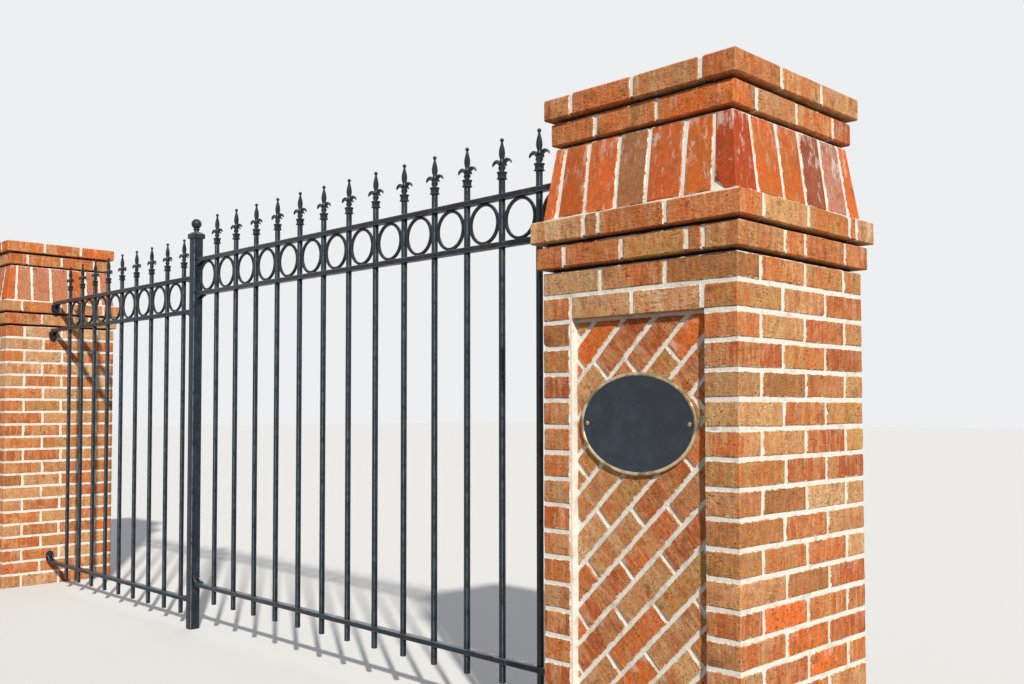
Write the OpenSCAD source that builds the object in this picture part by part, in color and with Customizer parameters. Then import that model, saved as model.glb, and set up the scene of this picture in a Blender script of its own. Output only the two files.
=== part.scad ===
// Ornamental iron fence run between two brick piers.
// The run lies along X and the street is towards -Y. The origin is on the ground,
// on the piers' centre line, halfway between the piers. The right panel stands one
// step higher than the left one, and the right pier stands lower than the left one,
// with its lowest course cut by the ground.

/* [Brick piers] */
// Width and depth of a pier's shaft
pier_w = 600; // [560:5:680]
// Height of one course with its bed joint
course_h = 68; // [60:1:76]
// Flush courses in the left pier's shaft
left_courses = 21; // [18:1:24]
// How far the right pier stands lower than the left one
pier_step = 94; // [60:1:115]
// How far the lower band course stands out from the shaft
band_out_lower = 12.5; // [8:0.5:18]
// How far the upper band course stands out from the shaft
band_out_upper = 25; // [20:0.5:34]
// Height of the course of bricks on end
soldier_h = 196; // [170:2:210]
// How far the bricks on end lean in at their top
soldier_lean = 27; // [10:1:36]
// How far the lower cap course stands back from the shaft's face
cap_in_lower = 16; // [6:1:24]
// How far the top cap course stands back from the shaft's face
cap_in_upper = 1; // [0:1:5]
// Bed joint left out above the top course
top_joint = 5; // [0:1:8]

/* [Recessed panel] */
// Width of brickwork left at each side of the recess
recess_margin = 100; // [80:2:130]
// Courses between the recess and the shaft's top
recess_top_courses = 2; // [1:1:4]
// Courses between the recess and the ground
recess_bottom_courses = 3; // [2:1:5]
// Depth of the recess in front of the diagonal bricks
recess_d = 20; // [14:1:40]
// Thickness of the wall of diagonal bricks
diagonal_t = 90; // [60:5:110]

/* [Plaque] */
// Width of the oval plaque
plaque_w = 356; // [280:2:380]
// Height of the oval plaque
plaque_h = 254; // [200:2:300]
// Thickness of the plaque's plate
plaque_t = 6; // [4:0.5:8]
// Width of the plaque's raised rim
rim_w = 9; // [6:0.5:14]
// Height of the rim above the plate
rim_h = 3; // [2:0.5:4]
// Distance from the shaft's top down to the plaque's centre
plaque_drop = 399; // [300:1:700]
// Width of a plaque screw's head
screw_d = 12; // [8:0.5:16]

/* [Fence] */
// Distance from the street face of the piers to the fence's centre line
fence_setback = 250; // [160:5:300]
// Width of a square picket
picket_w = 16; // [12:0.5:20]
// Distance between the centres of two pickets
picket_pitch = 160; // [153:1:166]
// Number of pickets in the left panel
left_pickets = 9; // [6:1:12]
// Number of pickets in the right panel
right_pickets = 14; // [9:1:16]
// Distance from the left pier's face to the first picket's centre
left_end_gap = 236; // [150:2:260]
// Distance from the left panel's last picket to the post's centre
post_gap = 112; // [96:1:126]
// Distance from the post's centre to the right panel's first picket
post_ring_gap = 184; // [178:1:200]
// Distance from the right panel's last picket to the right pier's face
right_end_gap = 84; // [80:1:160]
// Height of a rail
rail_h = 18; // [14:1:24]
// Width of a rail
rail_w = 28; // [24:0.5:34]
// Height of the left panel's top rail, at its centre line
left_rail_z = 1556; // [1540:1:1575]
// How far the right panel stands above the left one
panel_step = 76; // [64:1:96]
// Distance from the top rail to the bottom rail, between centre lines
rail_drop = 1434; // [1380:2:1470]
// How far a picket reaches below the bottom rail's centre line
picket_drop = 70; // [30:2:90]
// How far a picket reaches above the top rail's centre line
picket_rise = 55; // [35:1:80]

/* [Rings] */
// Outside diameter of a ring before its welding flats are ground
ring_od = 134; // [122:1:138]
// Radial thickness of a ring
ring_t = 10; // [7:0.5:13]
// Depth of a ring's bar
ring_d = 10; // [8:1:18]
// Depth of the flats by which a ring sits against its rails
ring_flat = 1; // [0.5:0.25:2]

/* [Finials] */
// Width of the ribbed collar
collar_w = 24; // [20:1:30]
// Height of the ribbed collar
collar_h = 28; // [23:1:33]
// Thickness of the neck between the collar and the leaves
neck_d = 13; // [10:1:15]
// Height of the neck
neck_h = 17; // [13:1:23]
// Reach of a leaf from the finial's axis
leaf_reach = 40; // [32:1:46]
// Width of a leaf
leaf_w = 14; // [10:1:17]
// Widest part of the spear, from side to side
spear_w = 19; // [15:1:23]
// Height of the spear above the leaves
spear_h = 65; // [50:1:75]
// Diameter of the ball at the tip
tip_d = 14; // [9:0.5:15]

/* [Post] */
// Width of the square post
post_w = 44.5; // [40:0.5:54]
// Height of the post to the underside of its cap plate
post_h = 1730; // [1710:1:1780]
// How far the cap stands out beyond the post
post_cap_out = 6; // [3:0.5:9]
// Height of the cap's square edge
post_cap_t = 21; // [12:0.5:26]
// Height of the cap's sloping top above that edge
post_cap_rise = 10; // [5:0.5:14]
// Diameter of the ball
ball_d = 45; // [36:1:52]
// Diameter of the ring round the ball's neck
ball_ring_d = 29.5; // [24:0.5:34]
// Height of that ring
ball_ring_h = 9; // [5:0.5:12]
// Height of the neck between the ring and the cap's top
ball_neck_h = 7; // [3:0.5:10]

/* [Brackets] */
// Width of the bolted tab of a bracket on a pier
tab_w = 40; // [32:1:44]
// Height of that tab
tab_h = 50; // [44:1:60]
// Width of the bolted tab of a bracket on the post
post_tab_w = 30; // [26:1:34]
// Height of that tab
post_tab_h = 31; // [28:1:36]
// Thickness of a bracket's plates
tab_t = 5; // [4:0.5:7]
// Gap between the leg that carries a rail and the ring beside it
leg_clear = 10; // [2:1:14]
// Size of a pier bolt's head across its flats
bolt_af = 17; // [13:1:19]
// Size of a post bolt's head across its flats
post_bolt_af = 10; // [8:1:11]
// Thickness of a bolt's head, as a share of its size
bolt_ratio = 0.45; // [0.35:0.05:0.5]
// Gap between a rail's end and what it runs to
end_clear = 1; // [0.5:0.5:4]

/* [Hidden] */
$fn = 48;

brick = "#b5562c";
brick_tan = "#b97b45";
brick_soldier = "#a8492a";
iron = "#1b1d20";
bronze = "#8a6a3a";
slate = "#24282b";

// Distance between the centre lines of the two rails that hold the rings.
band_drop = rail_h + ring_od - 2 * ring_flat;
// Half width of a ring at the level of a bracket's leg, and the leg's length: from the
// tab on the post to the ring between the post and the right panel's first picket.
ring_half = sqrt(pow(ring_od / 2, 2) - pow(ring_od / 2 - ring_flat - tab_t, 2));
leg_l = post_ring_gap - picket_pitch / 2 - post_w / 2 - ring_half - tab_t - leg_clear;
left_len = left_end_gap + (left_pickets - 1) * picket_pitch + post_gap;
right_len = post_ring_gap + (right_pickets - 1) * picket_pitch + right_end_gap;
run_len = left_len + right_len;
left_face_x = -run_len / 2;
right_face_x = run_len / 2;
post_x = left_face_x + left_len;
fence_y = fence_setback - pier_w / 2;
recess_w = pier_w - 2 * recess_margin;
recess_h = (left_courses - recess_top_courses - recess_bottom_courses) * course_h;
left_top = left_courses * course_h;
right_top = left_top - pier_step;
right_rail_z = left_rail_z + panel_step;
left_picket_x = [for (i = [0:left_pickets - 1]) left_face_x + left_end_gap + i * picket_pitch];
right_picket_x = [for (i = [0:right_pickets - 1]) post_x + post_ring_gap + i * picket_pitch];

// Levels of a pier, from the height of its shaft.
function band_z(top) = top + course_h;
function soldier_z(top) = top + 2 * course_h;
function cap_z(top) = soldier_z(top) + soldier_h;

// How far a pier's surface stands out from its shaft's face at a height.
function pier_out(top, z) =
    z < top ? 0 :
    z < band_z(top) ? band_out_lower :
    z < soldier_z(top) ? band_out_upper :
    z < cap_z(top) ? -soldier_lean * (z - soldier_z(top)) / soldier_h :
    -cap_in_lower;

// The furthest out that a pier's surface stands between two heights.
function pier_reach(top, z0, z1) =
    max(pier_out(top, z0), pier_out(top, (z0 + z1) / 2), pier_out(top, z1));

module left_pier_frame() {
    translate([left_face_x - pier_w / 2, 0, 0]) children();
}

module right_pier_frame() {
    translate([right_face_x + pier_w / 2, 0, 0]) children();
}

module centred_block(width, height) {
    translate([-width / 2, -width / 2, 0]) cube([width, width, height]);
}

// Level of the recess's foot in a shaft of the given height.
function recess_z(top) = top - recess_top_courses * course_h - recess_h;

// Shaft with the recess in its street face; the diagonal bricks fill the recess's back.
module shaft(top) {
    difference() {
        centred_block(pier_w, top);
        translate([-recess_w / 2, -pier_w / 2 - 1, recess_z(top)])
            cube([recess_w, recess_d + diagonal_t + 1, recess_h]);
    }
}

module diagonal_panel(top) {
    translate([-recess_w / 2, -pier_w / 2 + recess_d, recess_z(top)])
        cube([recess_w, diagonal_t, recess_h]);
}

// One corbelled course around the pier.
module band(out) {
    centred_block(pier_w + 2 * out, course_h);
}

// Side view of the course of bricks on end, wider below than above.
module soldier_profile() {
    half = pier_w / 2;
    polygon([[-half, 0], [half, 0], [half - soldier_lean, soldier_h], [soldier_lean - half, soldier_h]]);
}

module soldier_side() {
    rotate([90, 0, 0]) linear_extrude(pier_w + 2, center = true) soldier_profile();
}

module soldier_course() {
    intersection() {
        soldier_side();
        rotate([0, 0, 90]) soldier_side();
    }
}

module left_shaft() { color(brick) left_pier_frame() shaft(left_top); }
module left_diagonal_panel() { color(brick_tan) left_pier_frame() diagonal_panel(left_top); }
module left_band_lower() {
    color(brick) left_pier_frame() translate([0, 0, left_top]) band(band_out_lower);
}
module left_band_upper() {
    color(brick_tan) left_pier_frame() translate([0, 0, band_z(left_top)]) band(band_out_upper);
}
module left_soldier_course() {
    color(brick_soldier) left_pier_frame() translate([0, 0, soldier_z(left_top)]) soldier_course();
}
module left_cap_lower() {
    color(brick_tan) left_pier_frame() translate([0, 0, cap_z(left_top)]) band(-cap_in_lower);
}
module left_cap_upper() {
    color(brick) left_pier_frame() translate([0, 0, cap_z(left_top) + course_h])
        centred_block(pier_w - 2 * cap_in_upper, course_h - top_joint);
}

module right_shaft() { color(brick) right_pier_frame() shaft(right_top); }
module right_diagonal_panel() { color(brick_tan) right_pier_frame() diagonal_panel(right_top); }
module right_band_lower() {
    color(brick) right_pier_frame() translate([0, 0, right_top]) band(band_out_lower);
}
module right_band_upper() {
    color(brick_tan) right_pier_frame() translate([0, 0, band_z(right_top)]) band(band_out_upper);
}
module right_soldier_course() {
    color(brick_soldier) right_pier_frame() translate([0, 0, soldier_z(right_top)]) soldier_course();
}
module right_cap_lower() {
    color(brick_tan) right_pier_frame() translate([0, 0, cap_z(right_top)]) band(-cap_in_lower);
}
module right_cap_upper() {
    color(brick) right_pier_frame() translate([0, 0, cap_z(right_top) + course_h])
        centred_block(pier_w - 2 * cap_in_upper, course_h - top_joint);
}

// Points of an oval outline.
function oval(a, b, n = 72) = [for (i = [0:n - 1]) [a * cos(360 * i / n), b * sin(360 * i / n)]];

// Moves a flat shape to the diagonal bricks of the right pier, facing the street.
module on_plaque_wall(stand_off = 0) {
    right_pier_frame() translate([0, -pier_w / 2 + recess_d - stand_off, right_top - plaque_drop])
        rotate([90, 0, 0]) children();
}

module plaque_plate() {
    color(slate) on_plaque_wall() linear_extrude(plaque_t)
        polygon(oval(plaque_w / 2 - rim_w, plaque_h / 2 - rim_w));
}

module plaque_rim() {
    color(bronze) on_plaque_wall() linear_extrude(plaque_t + rim_h) difference() {
        polygon(oval(plaque_w / 2, plaque_h / 2));
        polygon(oval(plaque_w / 2 - rim_w, plaque_h / 2 - rim_w));
    }
}

// Domed screw heads near the left and right ends of the plate.
module plaque_screws() {
    dome_r = screw_d * 0.65;
    sink = sqrt(dome_r * dome_r - screw_d * screw_d / 4);
    color(bronze) on_plaque_wall(plaque_t)
        for (side = [-1, 1])
            translate([side * (plaque_w / 2 - rim_w - screw_d), 0, 0])
                intersection() {
                    translate([0, 0, -sink]) sphere(dome_r);
                    cylinder(d = 2 * screw_d, h = screw_d);
                }
}

// A rail between two places along the run.
module rail(x0, x1, z) {
    translate([x0, fence_y - rail_w / 2, z - rail_h / 2]) cube([x1 - x0, rail_w, rail_h]);
}

module picket(x, rail_z) {
    bottom = rail_z - rail_drop - picket_drop;
    translate([x - picket_w / 2, fence_y - picket_w / 2, bottom])
        cube([picket_w, picket_w, rail_z + picket_rise - bottom]);
}

// The three rail heights of a panel.
function rail_levels(rail_z) = [rail_z, rail_z - band_drop, rail_z - rail_drop];

// Where a rail ends beside a pier: clear of the furthest brick at its height.
function end_gap(top, z) = pier_reach(top, z - rail_h / 2, z + rail_h / 2) + end_clear;

module left_panel() {
    color(iron) union() {
        for (z = rail_levels(left_rail_z))
            rail(left_face_x + end_gap(left_top, z), post_x - post_w / 2 - end_clear, z);
        for (x = left_picket_x) picket(x, left_rail_z);
    }
}

module right_panel() {
    color(iron) union() {
        for (z = rail_levels(right_rail_z))
            rail(post_x + post_w / 2 + end_clear, right_face_x - end_gap(right_top, z), z);
        for (x = right_picket_x) picket(x, right_rail_z);
    }
}

// One ring of flat bar, ground flat where it meets the rails above and below.
module ring() {
    intersection() {
        rotate([90, 0, 0]) rotate_extrude()
            translate([ring_od / 2 - ring_t, -ring_d / 2]) square([ring_t, ring_d]);
        cube([2 * ring_od, 2 * ring_d, ring_od - 2 * ring_flat], center = true);
    }
}

module ring_row(centres, rail_z) {
    for (x = centres) translate([x, fence_y, rail_z - band_drop / 2]) ring();
}

module left_rings() {
    color(iron) ring_row([for (i = [0:left_pickets - 2]) left_picket_x[i] + picket_pitch / 2], left_rail_z);
}

module right_rings() {
    color(iron) ring_row([for (x = right_picket_x) x - picket_pitch / 2], right_rail_z);
}

// Square collar with a rib round its foot and another round its head.
module collar() {
    rib = collar_h / 6;
    centred_block(collar_w, rib);
    centred_block(collar_w - 3, collar_h);
    translate([0, 0, collar_h - 1.6 * rib]) centred_block(collar_w, rib);
}

// Side view of a leaf that rises from the neck and droops at its tip.
module leaf_profile() {
    rise = leaf_reach * 0.62;
    difference() {
        translate([leaf_reach / 2, 0]) circle(leaf_reach / 2);
        translate([leaf_reach / 2 + 1, -leaf_reach * 0.16]) circle(leaf_reach * 0.44);
        translate([-1, -leaf_reach - rise * 0.4]) square([leaf_reach * 2, leaf_reach]);
    }
}

// Outline of a leaf from above, pointed at its tip.
module leaf_plan() {
    polygon([
        [0, -leaf_w * 0.3], [leaf_reach * 0.5, -leaf_w / 2], [leaf_reach, -1],
        [leaf_reach, 1], [leaf_reach * 0.5, leaf_w / 2], [0, leaf_w * 0.3]
    ]);
}

module leaf() {
    intersection() {
        rotate([90, 0, 0]) linear_extrude(leaf_w + 2, center = true) leaf_profile();
        translate([0, 0, -leaf_reach]) linear_extrude(2 * leaf_reach) leaf_plan();
    }
}

// Front view of the spear: narrow foot, full belly, pointed top.
module spear_profile() {
    half = spear_w / 2;
    polygon([
        [-half * 0.4, 0], [-half, spear_h * 0.34], [-half * 0.75, spear_h * 0.55], [-1.5, spear_h],
        [1.5, spear_h], [half * 0.75, spear_h * 0.55], [half, spear_h * 0.34], [half * 0.4, 0]
    ]);
}

module spear_side() {
    rotate([90, 0, 0]) linear_extrude(2 * spear_w, center = true) spear_profile();
}

module spear() {
    rotate([0, 0, 45]) intersection() {
        spear_side();
        rotate([0, 0, 90]) spear_side();
    }
}

// One cast finial, standing on the end of its picket.
module finial() {
    leaf_z = collar_h + neck_h + leaf_reach * 0.22;
    collar();
    cylinder(d = neck_d, h = leaf_z + 8);
    for (a = [0:90:270]) rotate([0, 0, a]) translate([0, 0, leaf_z]) leaf();
    translate([0, 0, leaf_z + 4]) spear();
    translate([0, 0, leaf_z + 4 + spear_h + tip_d * 0.35]) sphere(d = tip_d);
}

module finial_row(centres, rail_z) {
    for (x = centres) translate([x, fence_y, rail_z + picket_rise]) finial();
}

module left_finials() { color(iron) finial_row(left_picket_x, left_rail_z); }
module right_finials() { color(iron) finial_row(right_picket_x, right_rail_z); }

module post() {
    color(iron) translate([post_x, fence_y, 0]) centred_block(post_w, post_h);
}

// Side view of the cap: a square edge and a shallow slope up to the ball's neck.
module post_cap_side() {
    half = post_w / 2 + post_cap_out;
    rotate([90, 0, 0]) linear_extrude(2 * half, center = true)
        polygon([
            [-half, 0], [half, 0], [half, post_cap_t], [ball_ring_d / 2, post_cap_t + post_cap_rise],
            [-ball_ring_d / 2, post_cap_t + post_cap_rise], [-half, post_cap_t]
        ]);
}

module post_cap() {
    color(iron) translate([post_x, fence_y, post_h]) intersection() {
        post_cap_side();
        rotate([0, 0, 90]) post_cap_side();
    }
}

// Ball on a short neck with a round ring, turned as one piece.
module post_ball() {
    ring_z = ball_neck_h + ball_ring_h / 2;
    ball_z = ball_neck_h + ball_ring_h + ball_d / 2 - 2;
    color(iron) translate([post_x, fence_y, post_h + post_cap_t + post_cap_rise]) {
        cylinder(d = ball_ring_d * 0.7, h = ball_z);
        rotate_extrude() {
            translate([(ball_ring_d - ball_ring_h) / 2, ring_z]) circle(d = ball_ring_h);
            translate([0, ball_neck_h]) square([(ball_ring_d - ball_ring_h) / 2, ball_ring_h]);
        }
        translate([0, 0, ball_z]) sphere(d = ball_d);
    }
}

// Rounded outline of a tab, seen from the end of the rail; it hangs below its top edge.
module tab_outline(width, height) {
    translate([-width / 2, width / 2 - height]) square([width, height - width / 2]);
    translate([0, width / 2 - height]) circle(width / 2);
}

// A bracket under a rail. It stands on a wall at x = 0 whose face leans back by the
// given amount at the tab's foot and head, and its leg reaches along +X.
module bracket(foot_out, head_out, width, height, bolt) {
    front = max(foot_out, head_out) + tab_t;
    leg_end = front + leg_l;
    washer_t = bolt * 0.15;
    intersection() {
        rotate([90, 0, 0]) linear_extrude(width, center = true)
            polygon([[foot_out, -height], [front, -height], [front, 0], [head_out, 0]]);
        rotate([90, 0, 90]) linear_extrude(4 * height, center = true) tab_outline(width, height);
    }
    translate([front - 1, -rail_w / 2, -tab_t]) cube([leg_l + 1, rail_w, tab_t]);
    for (side = [-1, 1])
        translate([0, side * (rail_w - tab_t) / 2, 0]) rotate([90, 0, 0])
            linear_extrude(tab_t, center = true)
                polygon([[front - 1, -1], [leg_end - 6, -1], [front - 1, -height * 0.55]]);
    translate([front, 0, width / 2 - height]) rotate([0, 90, 0]) {
        cylinder(d = bolt * 1.3, h = washer_t);
        cylinder(d = bolt / cos(30), h = washer_t + bolt * bolt_ratio, $fn = 6);
    }
}

// Brackets of one end of a panel: they hang below the two upper rails and stand
// above the bottom one. On the bricks on end the tab leans back with the pier's face.
module pier_brackets(top, rail_z) {
    for (i = [0:2]) {
        z = rail_levels(rail_z)[i];
        up = i == 2;
        head = up ? z + rail_h / 2 : z - rail_h / 2;
        foot = up ? head + tab_h : head - tab_h;
        leans = min(head, foot) >= soldier_z(top);
        out = pier_reach(top, min(head, foot), max(head, foot) - 0.1);
        translate([0, 0, head]) mirror([0, 0, up ? 1 : 0])
            bracket(
                leans ? pier_out(top, foot) : out, leans ? pier_out(top, head) : out,
                tab_w, tab_h, bolt_af
            );
    }
}

module post_brackets(rail_z) {
    for (i = [0:2]) {
        z = rail_levels(rail_z)[i];
        up = i == 2;
        head = up ? z + rail_h / 2 : z - rail_h / 2;
        translate([0, 0, head]) mirror([0, 0, up ? 1 : 0])
            bracket(0, 0, post_tab_w, post_tab_h, post_bolt_af);
    }
}

module left_pier_brackets() {
    color(iron) translate([left_face_x, fence_y, 0]) pier_brackets(left_top, left_rail_z);
}

module right_pier_brackets() {
    color(iron) translate([right_face_x, fence_y, 0]) mirror([1, 0, 0])
        pier_brackets(right_top, right_rail_z);
}

module post_left_brackets() {
    color(iron) translate([post_x - post_w / 2, fence_y, 0]) mirror([1, 0, 0]) post_brackets(left_rail_z);
}

module post_right_brackets() {
    color(iron) translate([post_x + post_w / 2, fence_y, 0]) post_brackets(right_rail_z);
}

left_shaft();
left_diagonal_panel();
left_band_lower();
left_band_upper();
left_soldier_course();
left_cap_lower();
left_cap_upper();
right_shaft();
right_diagonal_panel();
right_band_lower();
right_band_upper();
right_soldier_course();
right_cap_lower();
right_cap_upper();
plaque_plate();
plaque_rim();
plaque_screws();
left_panel();
right_panel();
left_rings();
right_rings();
left_finials();
right_finials();
post();
post_cap();
post_ball();
left_pier_brackets();
post_left_brackets();
post_right_brackets();
right_pier_brackets();
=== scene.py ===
import logging
import math
import random
from dataclasses import dataclass, field
from enum import Enum
from typing import Sequence

import bmesh
import bpy
from mathutils import Matrix, Vector, noise


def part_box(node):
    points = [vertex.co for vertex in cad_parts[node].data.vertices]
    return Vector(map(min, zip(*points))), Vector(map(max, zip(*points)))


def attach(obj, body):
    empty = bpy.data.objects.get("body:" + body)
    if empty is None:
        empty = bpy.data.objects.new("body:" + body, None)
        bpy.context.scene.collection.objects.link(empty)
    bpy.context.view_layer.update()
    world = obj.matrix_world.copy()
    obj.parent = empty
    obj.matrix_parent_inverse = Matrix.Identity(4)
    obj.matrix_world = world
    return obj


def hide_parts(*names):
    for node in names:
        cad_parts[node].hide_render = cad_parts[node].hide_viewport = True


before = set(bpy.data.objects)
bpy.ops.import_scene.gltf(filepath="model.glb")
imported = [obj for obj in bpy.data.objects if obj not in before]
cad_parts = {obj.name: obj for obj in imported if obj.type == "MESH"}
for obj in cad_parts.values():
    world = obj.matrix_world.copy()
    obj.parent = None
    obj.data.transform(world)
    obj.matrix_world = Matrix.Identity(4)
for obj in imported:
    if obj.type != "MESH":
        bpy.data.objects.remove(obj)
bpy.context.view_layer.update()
LOG = logging.getLogger("fence_run")
Colour = tuple[float, float, float, float]
# Unseeded, the noise vectors of mathutils differ from run to run.
NOISE_SEED = 7


def linear(level: int) -> float:
    """One channel of a paint card, from 0 to 255, turned into an amount of light."""
    part = level / 255
    return part / 12.92 if part <= 0.04045 else ((part + 0.055) / 1.055) ** 2.4


def paint(red: int, green: int, blue: int) -> Colour:
    """Linear colour from the 0 to 255 numbers of a paint card."""
    return linear(red), linear(green), linear(blue), 1.0


class NodeSheet:
    """The node tree of one material, with short calls for its common nodes."""

    def __init__(self, name: str) -> None:
        """Starts an empty material that ends in a principled shader.

        Args:
            name: the material's name.
        """
        self.material = bpy.data.materials.new(name)
        self.material.use_nodes = True
        self.tree = self.material.node_tree
        self.shader = self.tree.nodes["Principled BSDF"]

    def node(self, kind: str, **settings: object) -> bpy.types.Node:
        """Adds a node.

        Args:
            kind: the node's type.
            settings: its properties by name.

        Returns:
            The node.
        """
        made = self.tree.nodes.new(kind)
        for key, value in settings.items():
            setattr(made, key, value)
        return made

    def feed(self, socket: bpy.types.NodeSocket, value: object) -> None:
        """Links a node's output to a socket, or sets the socket to a number or colour.

        Args:
            socket: the input to fill.
            value: another node's output, a number or a colour.
        """
        if isinstance(value, bpy.types.NodeSocket):
            self.tree.links.new(value, socket)
        else:
            socket.default_value = value

    def attribute(self, name: str, output: str) -> bpy.types.NodeSocket:
        """What a mesh keeps under a name at each point."""
        return self.node("ShaderNodeAttribute", attribute_name=name).outputs[output]

    def object_place(self) -> bpy.types.NodeSocket:
        """A point's place in the object, in metres."""
        return self.node("ShaderNodeTexCoord").outputs["Object"]

    def stretched(self, place: object, scale: Sequence[float]) -> bpy.types.NodeSocket:
        """Multiplies each axis of a place by its own number.

        Args:
            place: the output that gives the place.
            scale: the three numbers.

        Returns:
            The stretched place.
        """
        made = self.node("ShaderNodeVectorMath", operation="MULTIPLY")
        self.feed(made.inputs[0], place)
        made.inputs[1].default_value = tuple(scale)
        return made.outputs[0]

    def vector(self, operation: str, first: object, second: object = None) -> bpy.types.NodeSocket:
        """Works out one vector sum.

        Args:
            operation: what is done with the vectors.
            first: the first vector.
            second: the second one, where the sum has two.

        Returns:
            The vector that comes of it.
        """
        made = self.node("ShaderNodeVectorMath", operation=operation)
        self.feed(made.inputs[0], first)
        if second is not None:
            self.feed(made.inputs[1], second)
        return made.outputs[0]

    def sum(self, operation: str, first: object, second: object = 0.0,
            third: object = 0.0) -> bpy.types.NodeSocket:
        """Works out one sum with up to three numbers.

        Args:
            operation: what is done with the numbers.
            first: the first number.
            second: the second one.
            third: the third one.

        Returns:
            The number that comes of it.
        """
        made = self.node("ShaderNodeMath", operation=operation)
        for socket, value in zip(made.inputs, (first, second, third)):
            self.feed(socket, value)
        return made.outputs[0]

    def parts(self, value: object) -> tuple[bpy.types.NodeSocket, ...]:
        """Splits a vector.

        Args:
            value: the vector's output.

        Returns:
            Its three numbers.
        """
        made = self.node("ShaderNodeSeparateXYZ")
        self.feed(made.inputs[0], value)
        return tuple(made.outputs)

    def weighed(self, *terms: tuple[object, float]) -> bpy.types.NodeSocket:
        """Adds up several values, each times its weight.

        Args:
            terms: pairs of a value and its weight.

        Returns:
            The sum.
        """
        total: object = 0.0
        for value, weight in terms:
            total = self.sum("MULTIPLY_ADD", value, weight, total)
        return total

    def grain(self, place: object, scale: float, detail: float, rough: float) -> bpy.types.NodeSocket:
        """Makes cloudy noise from 0 to 1.

        Args:
            place: where it is read.
            scale: how many clouds go to the metre.
            detail: how many finer layers lie on them.
            rough: how strong the finer layers are.

        Returns:
            The noise.
        """
        made = self.node("ShaderNodeTexNoise")
        self.feed(made.inputs["Vector"], place)
        made.inputs["Scale"].default_value = scale
        made.inputs["Detail"].default_value = detail
        made.inputs["Roughness"].default_value = rough
        return made.outputs["Fac"]

    def between(self, value: object, low: float, high: float, floor: float = 0.0,
                ceiling: float = 1.0) -> bpy.types.NodeSocket:
        """Carries a value smoothly from one range to another, and holds it at the ends.

        Args:
            value: the value.
            low: where its range starts.
            high: where its range ends.
            floor: what the start becomes.
            ceiling: what the end becomes.

        Returns:
            The carried value.
        """
        made = self.node("ShaderNodeMapRange", interpolation_type="SMOOTHSTEP")
        self.feed(made.inputs["Value"], value)
        made.inputs["From Min"].default_value = low
        made.inputs["From Max"].default_value = high
        made.inputs["To Min"].default_value = floor
        made.inputs["To Max"].default_value = ceiling
        return made.outputs["Result"]

    def blend(self, share: object, first: object, second: object,
              mode: str = "MIX") -> bpy.types.NodeSocket:
        """Mixes two colours.

        Args:
            share: how much of the second one goes in, from 0 to 1.
            first: the colour underneath.
            second: the colour on top.
            mode: how the second one is laid on.

        Returns:
            The mixed colour.
        """
        made = self.node("ShaderNodeMix", data_type="RGBA", blend_type=mode)
        # The sockets for colours come after those for numbers and vectors.
        self.feed(made.inputs[0], share)
        self.feed(made.inputs[6], first)
        self.feed(made.inputs[7], second)
        return made.outputs[2]

    def relief(self, height: object, depth: float, strength: float,
               under: object = None) -> bpy.types.NodeSocket:
        """Makes a bumpy surface.

        Args:
            height: its height, between 0 and 1.
            depth: what a height of 1 stands for, in metres.
            strength: how strongly it shows.
            under: the bumpy surface that it lies on, if any.

        Returns:
            The surface's direction.
        """
        made = self.node("ShaderNodeBump")
        made.inputs["Strength"].default_value = strength
        made.inputs["Distance"].default_value = depth
        self.feed(made.inputs["Height"], height)
        if under is not None:
            self.feed(made.inputs["Normal"], under)
        return made.outputs["Normal"]

    def close(self, colour: object, roughness: object, normal: object = None) -> bpy.types.Material:
        """Wires the last values to the shader.

        Args:
            colour: the surface's colour.
            roughness: how dull it is, from 0 to 1.
            normal: its bumps, if any.

        Returns:
            The finished material.
        """
        self.feed(self.shader.inputs["Base Color"], colour)
        self.feed(self.shader.inputs["Roughness"], roughness)
        if normal is not None:
            self.feed(self.shader.inputs["Normal"], normal)
        return self.material


# Finishes

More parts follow.
